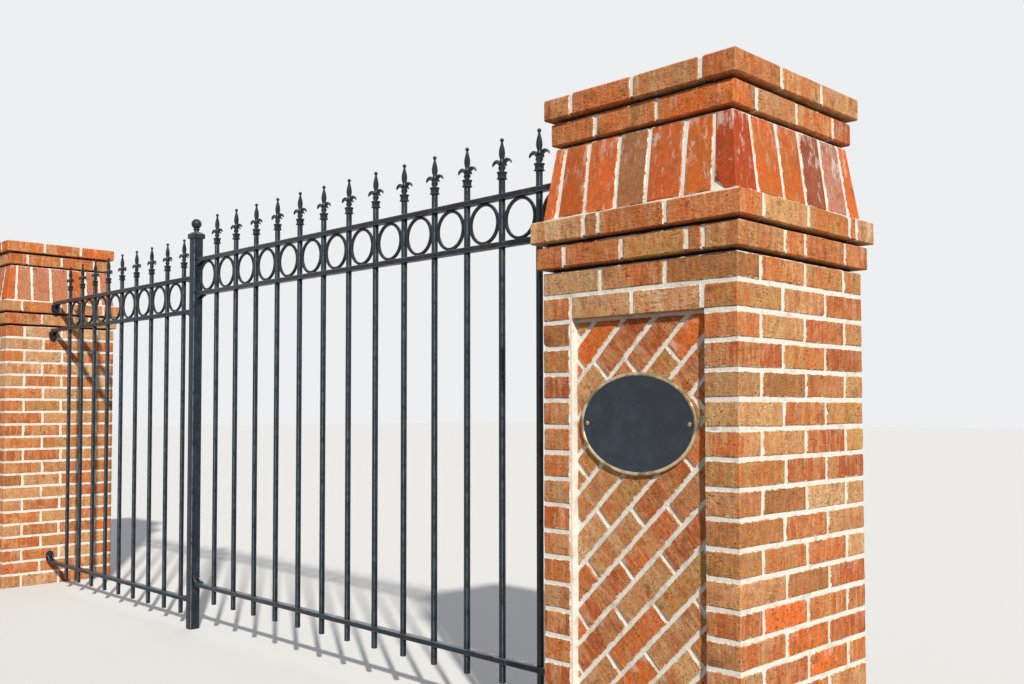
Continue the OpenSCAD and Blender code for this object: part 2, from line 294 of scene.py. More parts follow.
@dataclass(frozen=True)
class BrickFinish:
    """Sand-faced brick: its own tones, dragged bands, creases and pits with painted shade in them, white
    bloom and smears of mortar.

    The rise is half the height over which the bloom grows, and the depth is that of the relief.
    """

    name: str
    on_end: bool = False
    dragged: float = 1.0
    pitted: float = 1.0
    depth: float = 0.0042
    rise: float = 0.03
    smear: Colour = paint(232, 225, 212)
    burnt: Colour = paint(132, 84, 50)
    # Painted shade: the crease and pit colours darken the hollows that the relief sinks.
    crease: Colour = paint(104, 62, 38)
    pit_shade: Colour = paint(74, 44, 32)
    bloom: Colour = paint(230, 220, 208)

    def edge_distance(self, sheet: NodeSheet, local: bpy.types.NodeSocket) -> bpy.types.NodeSocket:
        """Finds how far a point of a brick's face lies from the nearest joint.

        Args:
            sheet: the brick's material.
            local: the point's place in its brick.

        Returns:
            The distance in metres.
        """
        half = sheet.attribute("brick_half", "Vector")
        x, y, z = sheet.parts(sheet.vector("SUBTRACT", half, sheet.vector("ABSOLUTE", local)))
        return sheet.sum("MINIMUM", sheet.sum("MINIMUM", x, y), z)

    def make(self) -> bpy.types.Material:
        """Mixes the brick's colours and relief from each brick's own attributes.

        Returns:
            The material.
        """
        sheet = NodeSheet(self.name)
        local = sheet.attribute("brick_local", "Vector")
        place = sheet.vector("ADD", local, sheet.attribute("brick_seed", "Vector"))
        tone = sheet.node("ShaderNodeAttribute", attribute_name="clay_face")
        patch = sheet.node("ShaderNodeAttribute", attribute_name="clay_patch")
        run = (0.11, 1.0, 1.0) if self.on_end else (1.0, 1.0, 0.11)
        bands = sheet.grain(sheet.stretched(place, run), 36, 2, 0.5)
        cloud = sheet.grain(place, 16, 3, 0.55)
        drag = sheet.grain(sheet.stretched(place, run), 120, 3, 0.65)
        mixed = sheet.weighed((bands, 0.45 * self.dragged), (cloud, 1.0 - 0.70 * self.dragged),
                              (drag, 0.25 * self.dragged))
        share = sheet.sum("MULTIPLY", sheet.between(mixed, 0.455, 0.545), patch.outputs["Alpha"])
        colour = sheet.blend(share, tone.outputs["Color"], patch.outputs["Color"])
        grit = sheet.grain(place, 430, 2, 0.65)
        mid = sheet.grain(place, 75, 4, 0.6)
        shade = sheet.weighed((drag, 0.30 * self.dragged), (mid, 0.40), (grit, 0.30))
        colour = sheet.blend(1.0, colour, sheet.between(shade, 0.32, 0.66, 0.58, 1.16), "MULTIPLY")
        burnt = sheet.between(sheet.grain(place, 24, 4, 0.62), 0.55, 0.70, 0.0, 0.62)
        colour = sheet.blend(burnt, colour, self.burnt)
        crease = sheet.grain(sheet.stretched(place, (0.5, 1.0, 1.5)), 130, 4, 0.7)
        # Painted shade in the creases, where the relief below sinks.
        crease_shade = sheet.sum("MULTIPLY", sheet.between(crease, 0.36, 0.46, 0.85 * self.pitted, 0.0),
                            sheet.between(cloud, 0.36, 0.60, 1.0, 0.30))
        colour = sheet.blend(crease_shade, colour, self.crease)
        holes = sheet.node("ShaderNodeTexVoronoi")
        sheet.feed(holes.inputs["Vector"], place)
        holes.inputs["Scale"].default_value = 92
        pits = sheet.sum("MULTIPLY", sheet.between(holes.outputs["Distance"], 0.13, 0.24, 1.0, 0.0),
                         sheet.between(mid, 0.48, 0.58, 0.0, 0.85 * self.pitted))
        # Painted shade in the pits, which the relief also sinks.
        colour = sheet.blend(pits, colour, self.pit_shade)
        level = sheet.sum("DIVIDE", sheet.parts(local)[0 if self.on_end else 2], self.rise)
        runny = sheet.stretched(place, (0.4, 1.0, 1.0) if self.on_end else (1.0, 1.0, 0.4))
        chalky = sheet.weighed((sheet.grain(runny, 46, 6, 0.75), 1.0), (level, 0.055))
        bloom = sheet.sum("MULTIPLY", sheet.between(chalky, 0.535, 0.65), tone.outputs["Alpha"])
        colour = sheet.blend(bloom, colour, self.bloom)
        ragged = sheet.weighed((self.edge_distance(sheet, local), 1.0),
                               (sheet.grain(place, 56, 5, 0.7), 0.017))
        smears = sheet.between(ragged, 0.0084, 0.0108, 0.90, 0.0)
        colour = sheet.blend(smears, colour, self.smear)
        height = sheet.weighed((drag, 0.30 * self.dragged), (mid, 0.55), (crease, 0.60 * self.pitted),
                               (pits, -0.5), (smears, 0.12))
        coarse = sheet.relief(height, self.depth, 1.0)
        fine = sheet.relief(grit, 0.0010, 0.8, coarse)
        sheet.shader.inputs["Specular IOR Level"].default_value = 0.25
        return sheet.close(colour, sheet.between(grit, 0.2, 0.8, 0.76, 0.95), fine)


@dataclass(frozen=True)
class MortarFinish:
    """Pale raked mortar, sandy, with a little dirt and painted shade where the mesh asks for it."""

    name: str = "mortar"
    pale: Colour = paint(230, 224, 211)
    dirty: Colour = paint(176, 162, 143)
    shade_colour: Colour = paint(58, 46, 36)

    def make(self) -> bpy.types.Material:
        """Mixes the mortar, darkened with painted shade where the mesh says so.

        Returns:
            The material.
        """
        sheet = NodeSheet(self.name)
        place = sheet.object_place()
        dirt = sheet.between(sheet.grain(place, 24, 4, 0.6), 0.50, 0.72, 0.0, 0.6)
        colour = sheet.blend(dirt, self.pale, self.dirty)
        # Painted shade: the mortar of the deep beds under the overhanging courses is made a near-black
        # brown.
        colour = sheet.blend(sheet.attribute("painted_shade", "Fac"), colour, self.shade_colour)
        sand = sheet.grain(place, 520, 2, 0.7)
        colour = sheet.blend(1.0, colour, sheet.between(sand, 0.25, 0.75, 0.86, 1.08), "MULTIPLY")
        lumps = sheet.relief(sheet.grain(place, 75, 4, 0.6), 0.0022, 0.9)
        sheet.shader.inputs["Specular IOR Level"].default_value = 0.2
        return sheet.close(colour, 0.94, sheet.relief(sand, 0.0006, 0.7, lumps))


@dataclass(frozen=True)
class IronPaint:
    """Satin black paint over iron: brush drag, chalky places, arrises lighter with rubbed paint and painted
    highlight, dust on top.
    """

    name: str = "black_iron_paint"
    black: Colour = paint(25, 31, 37)
    chalk: Colour = paint(58, 70, 80)
    rubbed_and_highlight: Colour = paint(104, 118, 130)
    dust: Colour = paint(120, 118, 112)
    chalked: float = 0.55
    arris_wear_and_highlight: float = 0.75
    dusted: float = 0.22

    def make(self) -> bpy.types.Material:
        """Mixes the paint.

        Returns:
            The material.
        """
        sheet = NodeSheet(self.name)
        place = sheet.object_place()
        drag = sheet.grain(sheet.stretched(place, (1.0, 1.0, 0.12)), 240, 3, 0.6)
        cloud = sheet.grain(place, 19, 4, 0.6)
        share = sheet.between(sheet.sum("MULTIPLY", cloud, drag), 0.20, 0.42, 0.0, self.chalked)
        colour = sheet.blend(share, self.black, self.chalk)
        # Rubbed paint and painted highlight: the eased arrises, which slant between the flat faces, are
        # painted lighter.
        facing = sheet.node("ShaderNodeNewGeometry").outputs["True Normal"]
        x, y, z = sheet.parts(sheet.vector("ABSOLUTE", facing))
        slanting = sheet.weighed((x, 1.0), (y, 1.0), (z, 1.0))
        arris = sheet.between(slanting, 1.12, 1.34, 0.0, self.arris_wear_and_highlight)
        patchy = sheet.between(sheet.grain(place, 38, 4, 0.6), 0.34, 0.56, 0.25, 1.0)
        worn_and_highlit = sheet.sum("MULTIPLY", arris, patchy)
        colour = sheet.blend(worn_and_highlit, colour, self.rubbed_and_highlight)
        upward = sheet.parts(facing)[2]
        dust = sheet.sum("MULTIPLY", sheet.between(upward, 0.45, 0.98, 0.0, self.dusted),
                         sheet.between(sheet.grain(place, 60, 4, 0.7), 0.35, 0.65))
        colour = sheet.blend(dust, colour, self.dust)
        rough = sheet.between(cloud, 0.3, 0.7, 0.26, 0.48)
        skin = sheet.relief(sheet.grain(place, 300, 3, 0.6), 0.00035, 0.55)
        sheet.shader.inputs["Specular IOR Level"].default_value = 0.28
        return sheet.close(colour, rough, sheet.relief(cloud, 0.0006, 0.4, skin))


@dataclass(frozen=True)
class SlateField:
    """Blue-black painted field of the plaque, faintly pebbled."""

    name: str = "plaque_slate"
    dark: Colour = paint(20, 29, 41)
    worn: Colour = paint(40, 51, 63)

    def make(self) -> bpy.types.Material:
        """Mixes the field's paint.

        Returns:
            The material.
        """
        sheet = NodeSheet(self.name)
        place = sheet.object_place()
        cloud = sheet.grain(place, 26, 5, 0.65)
        colour = sheet.blend(sheet.between(cloud, 0.4, 0.68, 0.0, 0.7), self.dark, self.worn)
        pebble = sheet.relief(sheet.grain(place, 560, 2, 0.5), 0.0004, 0.7)
        return sheet.close(colour, sheet.between(cloud, 0.3, 0.7, 0.36, 0.55), pebble)


@dataclass(frozen=True)
class AgedBronze:
    """Bronze, bright in some cloudy patches and browned in others."""

    name: str = "plaque_aged_bronze"
    bright: Colour = paint(204, 184, 146)
    browned: Colour = paint(128, 110, 82)

    def make(self) -> bpy.types.Material:
        """Mixes the metal of the plaque's rim and screws.

        Returns:
            The material.
        """
        sheet = NodeSheet(self.name)
        place = sheet.object_place()
        cloud = sheet.grain(place, 30, 4, 0.6)
        colour = sheet.blend(sheet.between(cloud, 0.40, 0.66), self.bright, self.browned)
        sheet.shader.inputs["Metallic"].default_value = 0.5
        scratch = sheet.relief(sheet.grain(place, 380, 3, 0.6), 0.0002, 0.5)
        return sheet.close(colour, sheet.between(cloud, 0.3, 0.7, 0.34, 0.56), scratch)


@dataclass(frozen=True)
class PaleFloor:
    """Plain studio floor, pale to the camera and a little darker to what stands on it."""

    name: str = "pale_floor"
    seen: Colour = paint(216, 214, 210)
    cast: Colour = paint(136, 133, 128)

    def make(self) -> bpy.types.Material:
        """Mixes the floor, paler where the camera sees it.

        Returns:
            The material.
        """
        sheet = NodeSheet(self.name)
        sheet.shader.inputs["Specular IOR Level"].default_value = 0.0
        path = sheet.node("ShaderNodeLightPath")
        shown = sheet.sum("MAXIMUM", path.outputs["Is Camera Ray"], path.outputs["Is Glossy Ray"])
        shown = sheet.sum("MAXIMUM", shown, path.outputs["Is Transmission Ray"])
        return sheet.close(sheet.blend(shown, self.cast, self.seen), 0.95)


# Shapes that several pieces use

def finish_piece(name: str, shape: bmesh.types.BMesh, material: bpy.types.Material,
                 nodes: Sequence[str], crease: float = 32.0) -> bpy.types.Object:
    """Turns a finished bmesh into a piece of the object.

    Args:
        name: the piece's name.
        shape: its bmesh, which is freed.
        material: its finish.
        nodes: the CAD nodes that it stands for.
        crease: edges turning more than this many degrees stay sharp.

    Returns:
        The new object, riding on the body.
    """
    bmesh.ops.dissolve_degenerate(shape, dist=2e-6, edges=shape.edges[:])
    bmesh.ops.recalc_face_normals(shape, faces=shape.faces[:])
    mesh = bpy.data.meshes.new(name)
    shape.to_mesh(mesh)
    shape.free()
    mesh.shade_smooth()
    mesh.set_sharp_from_angle(angle=math.radians(crease))
    mesh.materials.append(material)
    piece = bpy.data.objects.new(name, mesh)
    bpy.context.scene.collection.objects.link(piece)
    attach(piece, "root")
    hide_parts(*nodes)
    LOG.info("%s: %d faces for %s", name, len(mesh.polygons), ", ".join(nodes))
    return piece


def slab(shape: bmesh.types.BMesh, low: Vector, high: Vector) -> list[bmesh.types.BMVert]:
    """Adds a plain block.

    Args:
        shape: the bmesh that it is added to.
        low: its lowest corner.
        high: its highest corner.

    Returns:
        Its points.
    """
    points = bmesh.ops.create_cube(shape, size=1.0)["verts"]
    bmesh.ops.scale(shape, vec=high - low, verts=points)
    bmesh.ops.translate(shape, vec=(high + low) / 2, verts=points)
    return points


def edges_of(points: Sequence[bmesh.types.BMVert]) -> list[bmesh.types.BMEdge]:
    """The edges that join a set of points, each once and always in the same order."""
    chosen = set(points)
    return list(dict.fromkeys(e for p in points for e in p.link_edges if all(v in chosen for v in e.verts)))


def soften(shape: bmesh.types.BMesh, edges: Sequence[bmesh.types.BMEdge], offset: float,
           segments: int) -> None:
    """Rounds edges."""
    bmesh.ops.bevel(shape, geom=list(edges), offset=offset, offset_type="OFFSET", segments=segments,
                    profile=0.5, affect="EDGES", clamp_overlap=True, material=-1)


def bar(shape: bmesh.types.BMesh, low: Vector, high: Vector, round_over: float) -> None:
    """Adds a bar with eased edges."""
    soften(shape, edges_of(slab(shape, low, high)), round_over, 2)


def cut_through(shape: bmesh.types.BMesh, point: Vector, normal: Vector, clear: bool = False) -> None:
    """Cuts all faces along a plane.

    Args:
        shape: the bmesh to cut.
        point: a point of the plane.
        normal: the plane's direction.
        clear: whether what lies beyond the plane goes, and the cut is closed.
    """
    whole = shape.verts[:] + shape.edges[:] + shape.faces[:]
    bmesh.ops.bisect_plane(shape, geom=whole, plane_co=point, plane_no=normal, clear_outer=clear)
    if clear:
        rim = [e for e in shape.edges if e.is_boundary]
        if rim:
            bmesh.ops.holes_fill(shape, edges=rim, sides=0)


def pulled(shape: bmesh.types.BMesh, faces: Sequence[bmesh.types.BMFace]
           ) -> tuple[list[bmesh.types.BMVert], list[bmesh.types.BMFace]]:
    """Extrudes faces in place, leaving none of them behind inside a closed shape.

    Args:
        shape: the bmesh that they belong to.
        faces: the faces to extrude.

    Returns:
        The new points and the new faces, ready to be moved.
    """
    inside = any(f not in faces for face in faces for e in face.edges for f in e.link_faces)
    made = bmesh.ops.extrude_face_region(shape, geom=list(faces))["geom"]
    if inside:
        bmesh.ops.delete(shape, geom=list(faces), context="FACES_ONLY")
    return ([g for g in made if isinstance(g, bmesh.types.BMVert)],
            [g for g in made if isinstance(g, bmesh.types.BMFace)])


def drawn_out(shape: bmesh.types.BMesh, sides: int, stations: Sequence[Matrix],
              turn: float = 0.0) -> list[bmesh.types.BMVert]:
    """Draws a regular outline from station to station, capped at both ends.

    Args:
        shape: the bmesh that it is added to.
        sides: how many sides the outline has.
        stations: where each outline stands, its scale giving the outline's half widths.
        turn: how far the outline is turned, in radians.

    Returns:
        All its points.
    """
    first = bmesh.ops.create_circle(shape, cap_ends=True, segments=sides, radius=1.0,
                                    matrix=stations[0] @ Matrix.Rotation(turn, 4, "Z"))["verts"]
    points, ring = list(first), list(first)
    face = next(f for f in ring[0].link_faces if len(f.verts) == sides)
    for before, after in zip(stations, stations[1:]):
        ring, (face,) = pulled(shape, [face])
        bmesh.ops.transform(shape, matrix=after @ before.inverted(), verts=ring)
        points += ring
    return points


def spun(shape: bmesh.types.BMesh, profile: Sequence[tuple[float, float]], steps: int,
         centre: Vector = Vector((0, 0, 0))) -> None:
    """Spins a profile of radii and heights about the upright axis, closed at its foot.

    Args:
        shape: the bmesh that it is added to.
        profile: pairs of radius and height from the foot up.
        steps: how many steps go round.
        centre: where the axis stands.
    """
    turned = bmesh.new()
    points = [turned.verts.new(centre + Vector((radius, 0, height))) for radius, height in profile]
    edges = [turned.edges.new(pair) for pair in zip(points, points[1:])]
    bmesh.ops.spin(turned, geom=points + edges, cent=centre, axis=(0, 0, 1), dvec=(0, 0, 0), angle=math.tau,
                   steps=steps, use_merge=True, use_normal_flip=False, use_duplicate=False)
    bmesh.ops.remove_doubles(turned, verts=turned.verts[:], dist=1e-6)
    bmesh.ops.recalc_face_normals(turned, faces=turned.faces[:])
    made = bpy.data.meshes.new("turned")
    turned.to_mesh(made)
    turned.free()
    shape.from_mesh(made)
    bpy.data.meshes.remove(made)


def station(x: float, y: float, z: float, half: float) -> Matrix:
    """A level outline's place and half width."""
    return Matrix.Translation((x, y, z)) @ Matrix.Diagonal((half, half, 1.0, 1.0))


def repeated(shape: bmesh.types.BMesh, places: Sequence[Vector]) -> bmesh.types.BMesh:
    """Copies one shape to several places.

    Args:
        shape: the shape, which is freed.
        places: how far each copy is moved.

    Returns:
        All the copies together.
    """
    one = bpy.data.meshes.new("one")
    shape.to_mesh(one)
    shape.free()
    row = bmesh.new()
    for place in places:
        start = len(row.verts)
        row.from_mesh(one)
        row.verts.ensure_lookup_table()
        bmesh.ops.translate(row, vec=place, verts=row.verts[start:])
    bpy.data.meshes.remove(one)
    return row


# Brickwork

@dataclass(frozen=True)
class ClayTone:
    """How one brick was fired."""

    face: Colour
    patch: Colour
    patching: float
    bloom: float


class Clay(Enum):
    """The firings that show in the piers."""

    ORANGE = ClayTone(paint(205, 116, 62), paint(206, 148, 96), 0.75, 0.12)
    TAN = ClayTone(paint(210, 158, 106), paint(196, 118, 68), 0.75, 0.12)
    PALE = ClayTone(paint(216, 174, 126), paint(204, 132, 84), 0.70, 0.20)
    RED = ClayTone(paint(188, 98, 52), paint(206, 144, 92), 0.75, 0.16)
    OCHRE = ClayTone(paint(200, 150, 92), paint(202, 118, 62), 0.80, 0.08)
    BROWN = ClayTone(paint(178, 120, 70), paint(190, 122, 72), 0.70, 0.06)
    BRIGHT = ClayTone(paint(228, 114, 48), paint(200, 120, 60), 0.65, 0.35)
    SCARLET = ClayTone(paint(240, 120, 58), paint(214, 122, 64), 0.65, 0.45)
    DEEP_RED = ClayTone(paint(196, 74, 30), paint(206, 92, 42), 0.70, 0.50)
    DULL_RED = ClayTone(paint(166, 86, 58), paint(190, 110, 76), 0.60, 0.35)
    GREY_BROWN = ClayTone(paint(192, 126, 80), paint(164, 116, 78), 0.70, 0.22)
    ROSE = ClayTone(paint(216, 142, 106), paint(222, 128, 80), 0.70, 0.12)
    PINK_GREY = ClayTone(paint(216, 152, 128), paint(214, 112, 66), 0.70, 0.75)


class Bond(Enum):
    """Which pair of a pier's faces has its bricks run through to both corners."""

    STREET = "street and back"
    SIDES = "left and right"


class Side(Enum):
    """One end of the run."""

    LEFT = "left"
    RIGHT = "right"


class Face(Enum):
    """A pier's faces, each with the axis that it runs along and the side of the pier that it is on."""

    STREET = (0, -1)
    BACK = (0, 1)
    LEFT = (1, -1)
    RIGHT = (1, 1)

    def corner(self, end: int) -> tuple[int, int]:
        """The pier's corner at one end of the face."""
        axis, sign = self.value
        return (end, sign) if axis == 0 else (sign, end)


@dataclass(frozen=True)
class Brick:
    """One brick's middle in plan, its size along and across, and whether it lies along Y."""

    x: float
    y: float
    along: float
    across: float
    turned: bool
    bare_end: int = 0


@dataclass(frozen=True)
class CornerSoldier:
    """A brick on end at a pier's corner: its width on the street or back and on the side, and its firing."""

    street: float
    side: float
    clay: Clay
    slanted: bool = False

    def width(self, axis: int) -> float:
        """How wide it is on the faces that run along an axis."""
        return self.side if axis else self.street


@dataclass(frozen=True)
class Soldier:
    """A brick on end: its middle and size in plan, its firing, and whether its foot is cut slanting."""

    middle: Vector
    size: Vector
    clay: Clay | None
    slanted: bool = False


WALL_MIX = ((Clay.ORANGE, 32), (Clay.TAN, 24), (Clay.PALE, 10), (Clay.RED, 16), (Clay.OCHRE, 8),
            (Clay.BRIGHT, 7), (Clay.BROWN, 2))
SOLDIER_MIX = ((Clay.SCARLET, 26), (Clay.BRIGHT, 26), (Clay.DULL_RED, 18), (Clay.GREY_BROWN, 12),
               (Clay.DEEP_RED, 10), (Clay.PINK_GREY, 8))


@dataclass
class Bricklayer:
    """Cuts, roughens and lays single bricks into one mesh.

    The arris is how far edges are worn round, and knocked is the share of bricks that lost a corner, to
    the depth of knock. Each brick is cut across at the loops, shares of its length, and along at the
    level, a share of its height. The lumps to the metre and their depth then make it uneven. On an end
    without a joint, the finish takes the brick to go on by the reach. The spreads are how far the tones
    of two bricks of one clay differ.
    """

    seed: int
    mix: Sequence[tuple[Clay, int]]
    arris: float = 0.0024
    knocked: float = 0.45
    knock: tuple[float, float] = (0.003, 0.007)
    loops: tuple[float, ...] = (-0.17, 0.17)
    level: float = 0.03
    lumps: float = 26.0
    lump_depth: float = 0.0011
    reach: float = 0.03
    face_spread: float = 0.13
    patch_spread: float = 0.10
    warm_spread: float = 0.05

    def __post_init__(self) -> None:
        """Starts the wall, with what its points keep for the finish."""
        self.chance = random.Random(self.seed)
        self.wall = bmesh.new()
        points = self.wall.verts.layers
        self.local = points.float_vector.new("brick_local")
        self.half = points.float_vector.new("brick_half")
        self.drift = points.float_vector.new("brick_seed")
        self.face = points.float_color.new("clay_face")
        self.patch = points.float_color.new("clay_patch")
        self.mould = bpy.data.meshes.new("mould")

    def pick(self) -> Clay:
        """The next brick from the pallet."""
        clays, weights = zip(*self.mix)
        return self.chance.choices(clays, weights)[0]

    def varied(self, colour: Colour, spread: float, last: float) -> tuple[float, ...]:
        """Makes a colour a little lighter or darker, warmer or cooler.

        Args:
            colour: the colour.
            spread: how much lighter or darker it may become, as a share.
            last: its new fourth value.

        Returns:
            The colour for one brick.
        """
        level = 1.0 + self.chance.uniform(-spread, spread)
        warm = 1.0 + self.chance.uniform(-self.warm_spread, self.warm_spread)
        return colour[0] * level, colour[1] * level * warm, colour[2] * level * warm, last

    def knock_corner(self, one: bmesh.types.BMesh, size: Vector) -> None:
        """Cuts one corner off a whole brick.

        Args:
            one: the brick, lying about the origin.
            size: its length, depth and height.
        """
        draw = self.chance
        corner = Vector((draw.choice((-1, 1)), draw.choice((-1, 1)), draw.choice((-1, 1))))
        tip = Vector((size.x * corner.x, size.y * corner.y, size.z * corner.z)) / 2
        slope = Vector((corner.x * draw.uniform(0.5, 1.2), corner.y * draw.uniform(0.6, 1.2),
                        corner.z * draw.uniform(0.5, 1.4))).normalized()
        cut_through(one, tip - slope * draw.uniform(*self.knock), slope, clear=True)

    def roughen(self, one: bmesh.types.BMesh, size: Vector) -> Vector:
        """Rounds a brick's edges and makes its faces uneven.

        Args:
            one: the brick, lying about the origin.
            size: its length, depth and height.

        Returns:
            Where in the noise the brick lies.
        """
        draw = self.chance
        soften(one, one.edges[:], min(self.arris * draw.uniform(0.8, 1.5), min(size) * 0.2), 1)
        for share in self.loops:
            cut_through(one, Vector((size.x * share, 0, 0)), Vector((1, 0, 0)))
        cut_through(one, Vector((0, 0, size.z * self.level)), Vector((0, 0, 1)))
        drift = Vector((draw.uniform(0, 60), draw.uniform(0, 60), draw.uniform(0, 60)))
        for point in one.verts:
            point.co += noise.noise_vector(point.co * self.lumps + drift) * self.lump_depth
        return drift

    def colour(self, laid: Sequence[bmesh.types.BMVert], size: Vector, drift: Vector, clay: Clay,
               bare: Sequence[int]) -> None:
        """Gives a brick's points what the finish reads: places, half sizes and tones.

        Args:
            laid: the brick's points, before they go to their place.
            size: its length, depth and height.
            drift: where in the noise it lies.
            clay: its firing.
            bare: for each of its axes, which end has no joint.
        """
        draw = self.chance
        fired = clay.value
        face = self.varied(fired.face, self.face_spread, fired.bloom * draw.uniform(0.5, 1.5))
        patch = self.varied(fired.patch, self.patch_spread, fired.patching * draw.uniform(0.5, 1.3))
        half = size / 2
        shift = Vector((0, 0, 0))
        for axis, end in enumerate(bare):
            half[axis] += self.reach if end else 0.0
            shift[axis] = -self.reach * end if abs(end) == 1 else 0.0
        for point in laid:
            point[self.local] = point.co + shift
            point[self.half] = half
            point[self.drift] = drift
            point[self.face] = face
            point[self.patch] = patch

    def lay(self, size: Vector, place: Matrix, clay: Clay | None, bare: Sequence[int],
            trims: Sequence[tuple[Vector, Vector]] = ()) -> list[bmesh.types.BMVert]:
        """Makes one brick and lays it, never lower than the ground.

        Args:
            size: its length, depth and height.
            place: where its middle goes and how it is turned.
            clay: its firing, or None for the next from the pallet.
            bare: for each of its axes, which end has no joint: -1, 1, 2 for both or 0 for neither.
            trims: points and outward normals, in the wall's frame, that it is cut back to.

        Returns:
            Its points in the wall.
        """
        one = bmesh.new()
        bmesh.ops.create_cube(one, size=1.0)
        bmesh.ops.scale(one, vec=size, verts=one.verts[:])
        back = place.inverted()
        for point, normal in trims:
            cut_through(one, back @ point, back.to_3x3() @ normal, clear=True)
        if self.chance.random() < self.knocked and len(one.verts) == 8:
            self.knock_corner(one, size)
        if len(one.faces) < 4:
            one.free()
            return []
        drift = self.roughen(one, size)
        one.to_mesh(self.mould)
        one.free()
        start = len(self.wall.verts)
        self.wall.from_mesh(self.mould)
        self.wall.verts.ensure_lookup_table()
        laid = self.wall.verts[start:]
        self.colour(laid, size, drift, clay or self.pick(), bare)
        for point in laid:
            point.co = place @ point.co
            point.co.z = max(point.co.z, 0.0)
        return laid

    def done(self) -> bmesh.types.BMesh:
        """Puts the mould away and hands over the wall."""
        bpy.data.meshes.remove(self.mould)
        return self.wall


def steps_along(start: float, end: float, steps: Sequence[float],
                joint: float) -> list[tuple[float, float]]:
    """Divides a stretch of wall into bricks.

    Args:
        start: where the first brick begins.
        end: where the last one ends.
        steps: the distances from joint to joint, in any unit.
        joint: how wide the joints are.

    Returns:
        Each brick's middle and length.
    """
    scale = (end - start + joint) / sum(steps)
    bricks, at = [], start
    for step in steps:
        length = step * scale - joint
        bricks.append((at + length / 2, length))
        at += length + joint
    return bricks


@dataclass(frozen=True)
class FaceRuns:
    """Joint to joint distances round one course, in any unit, for each of a pier's faces."""

    street: Sequence[float]
    right: Sequence[float]
    back: Sequence[float]
    left: Sequence[float]

    def on(self, face: Face) -> Sequence[float]:
        """The distances on one face."""
        return {Face.STREET: self.street, Face.BACK: self.back, Face.LEFT: self.left,
                Face.RIGHT: self.right}[face]


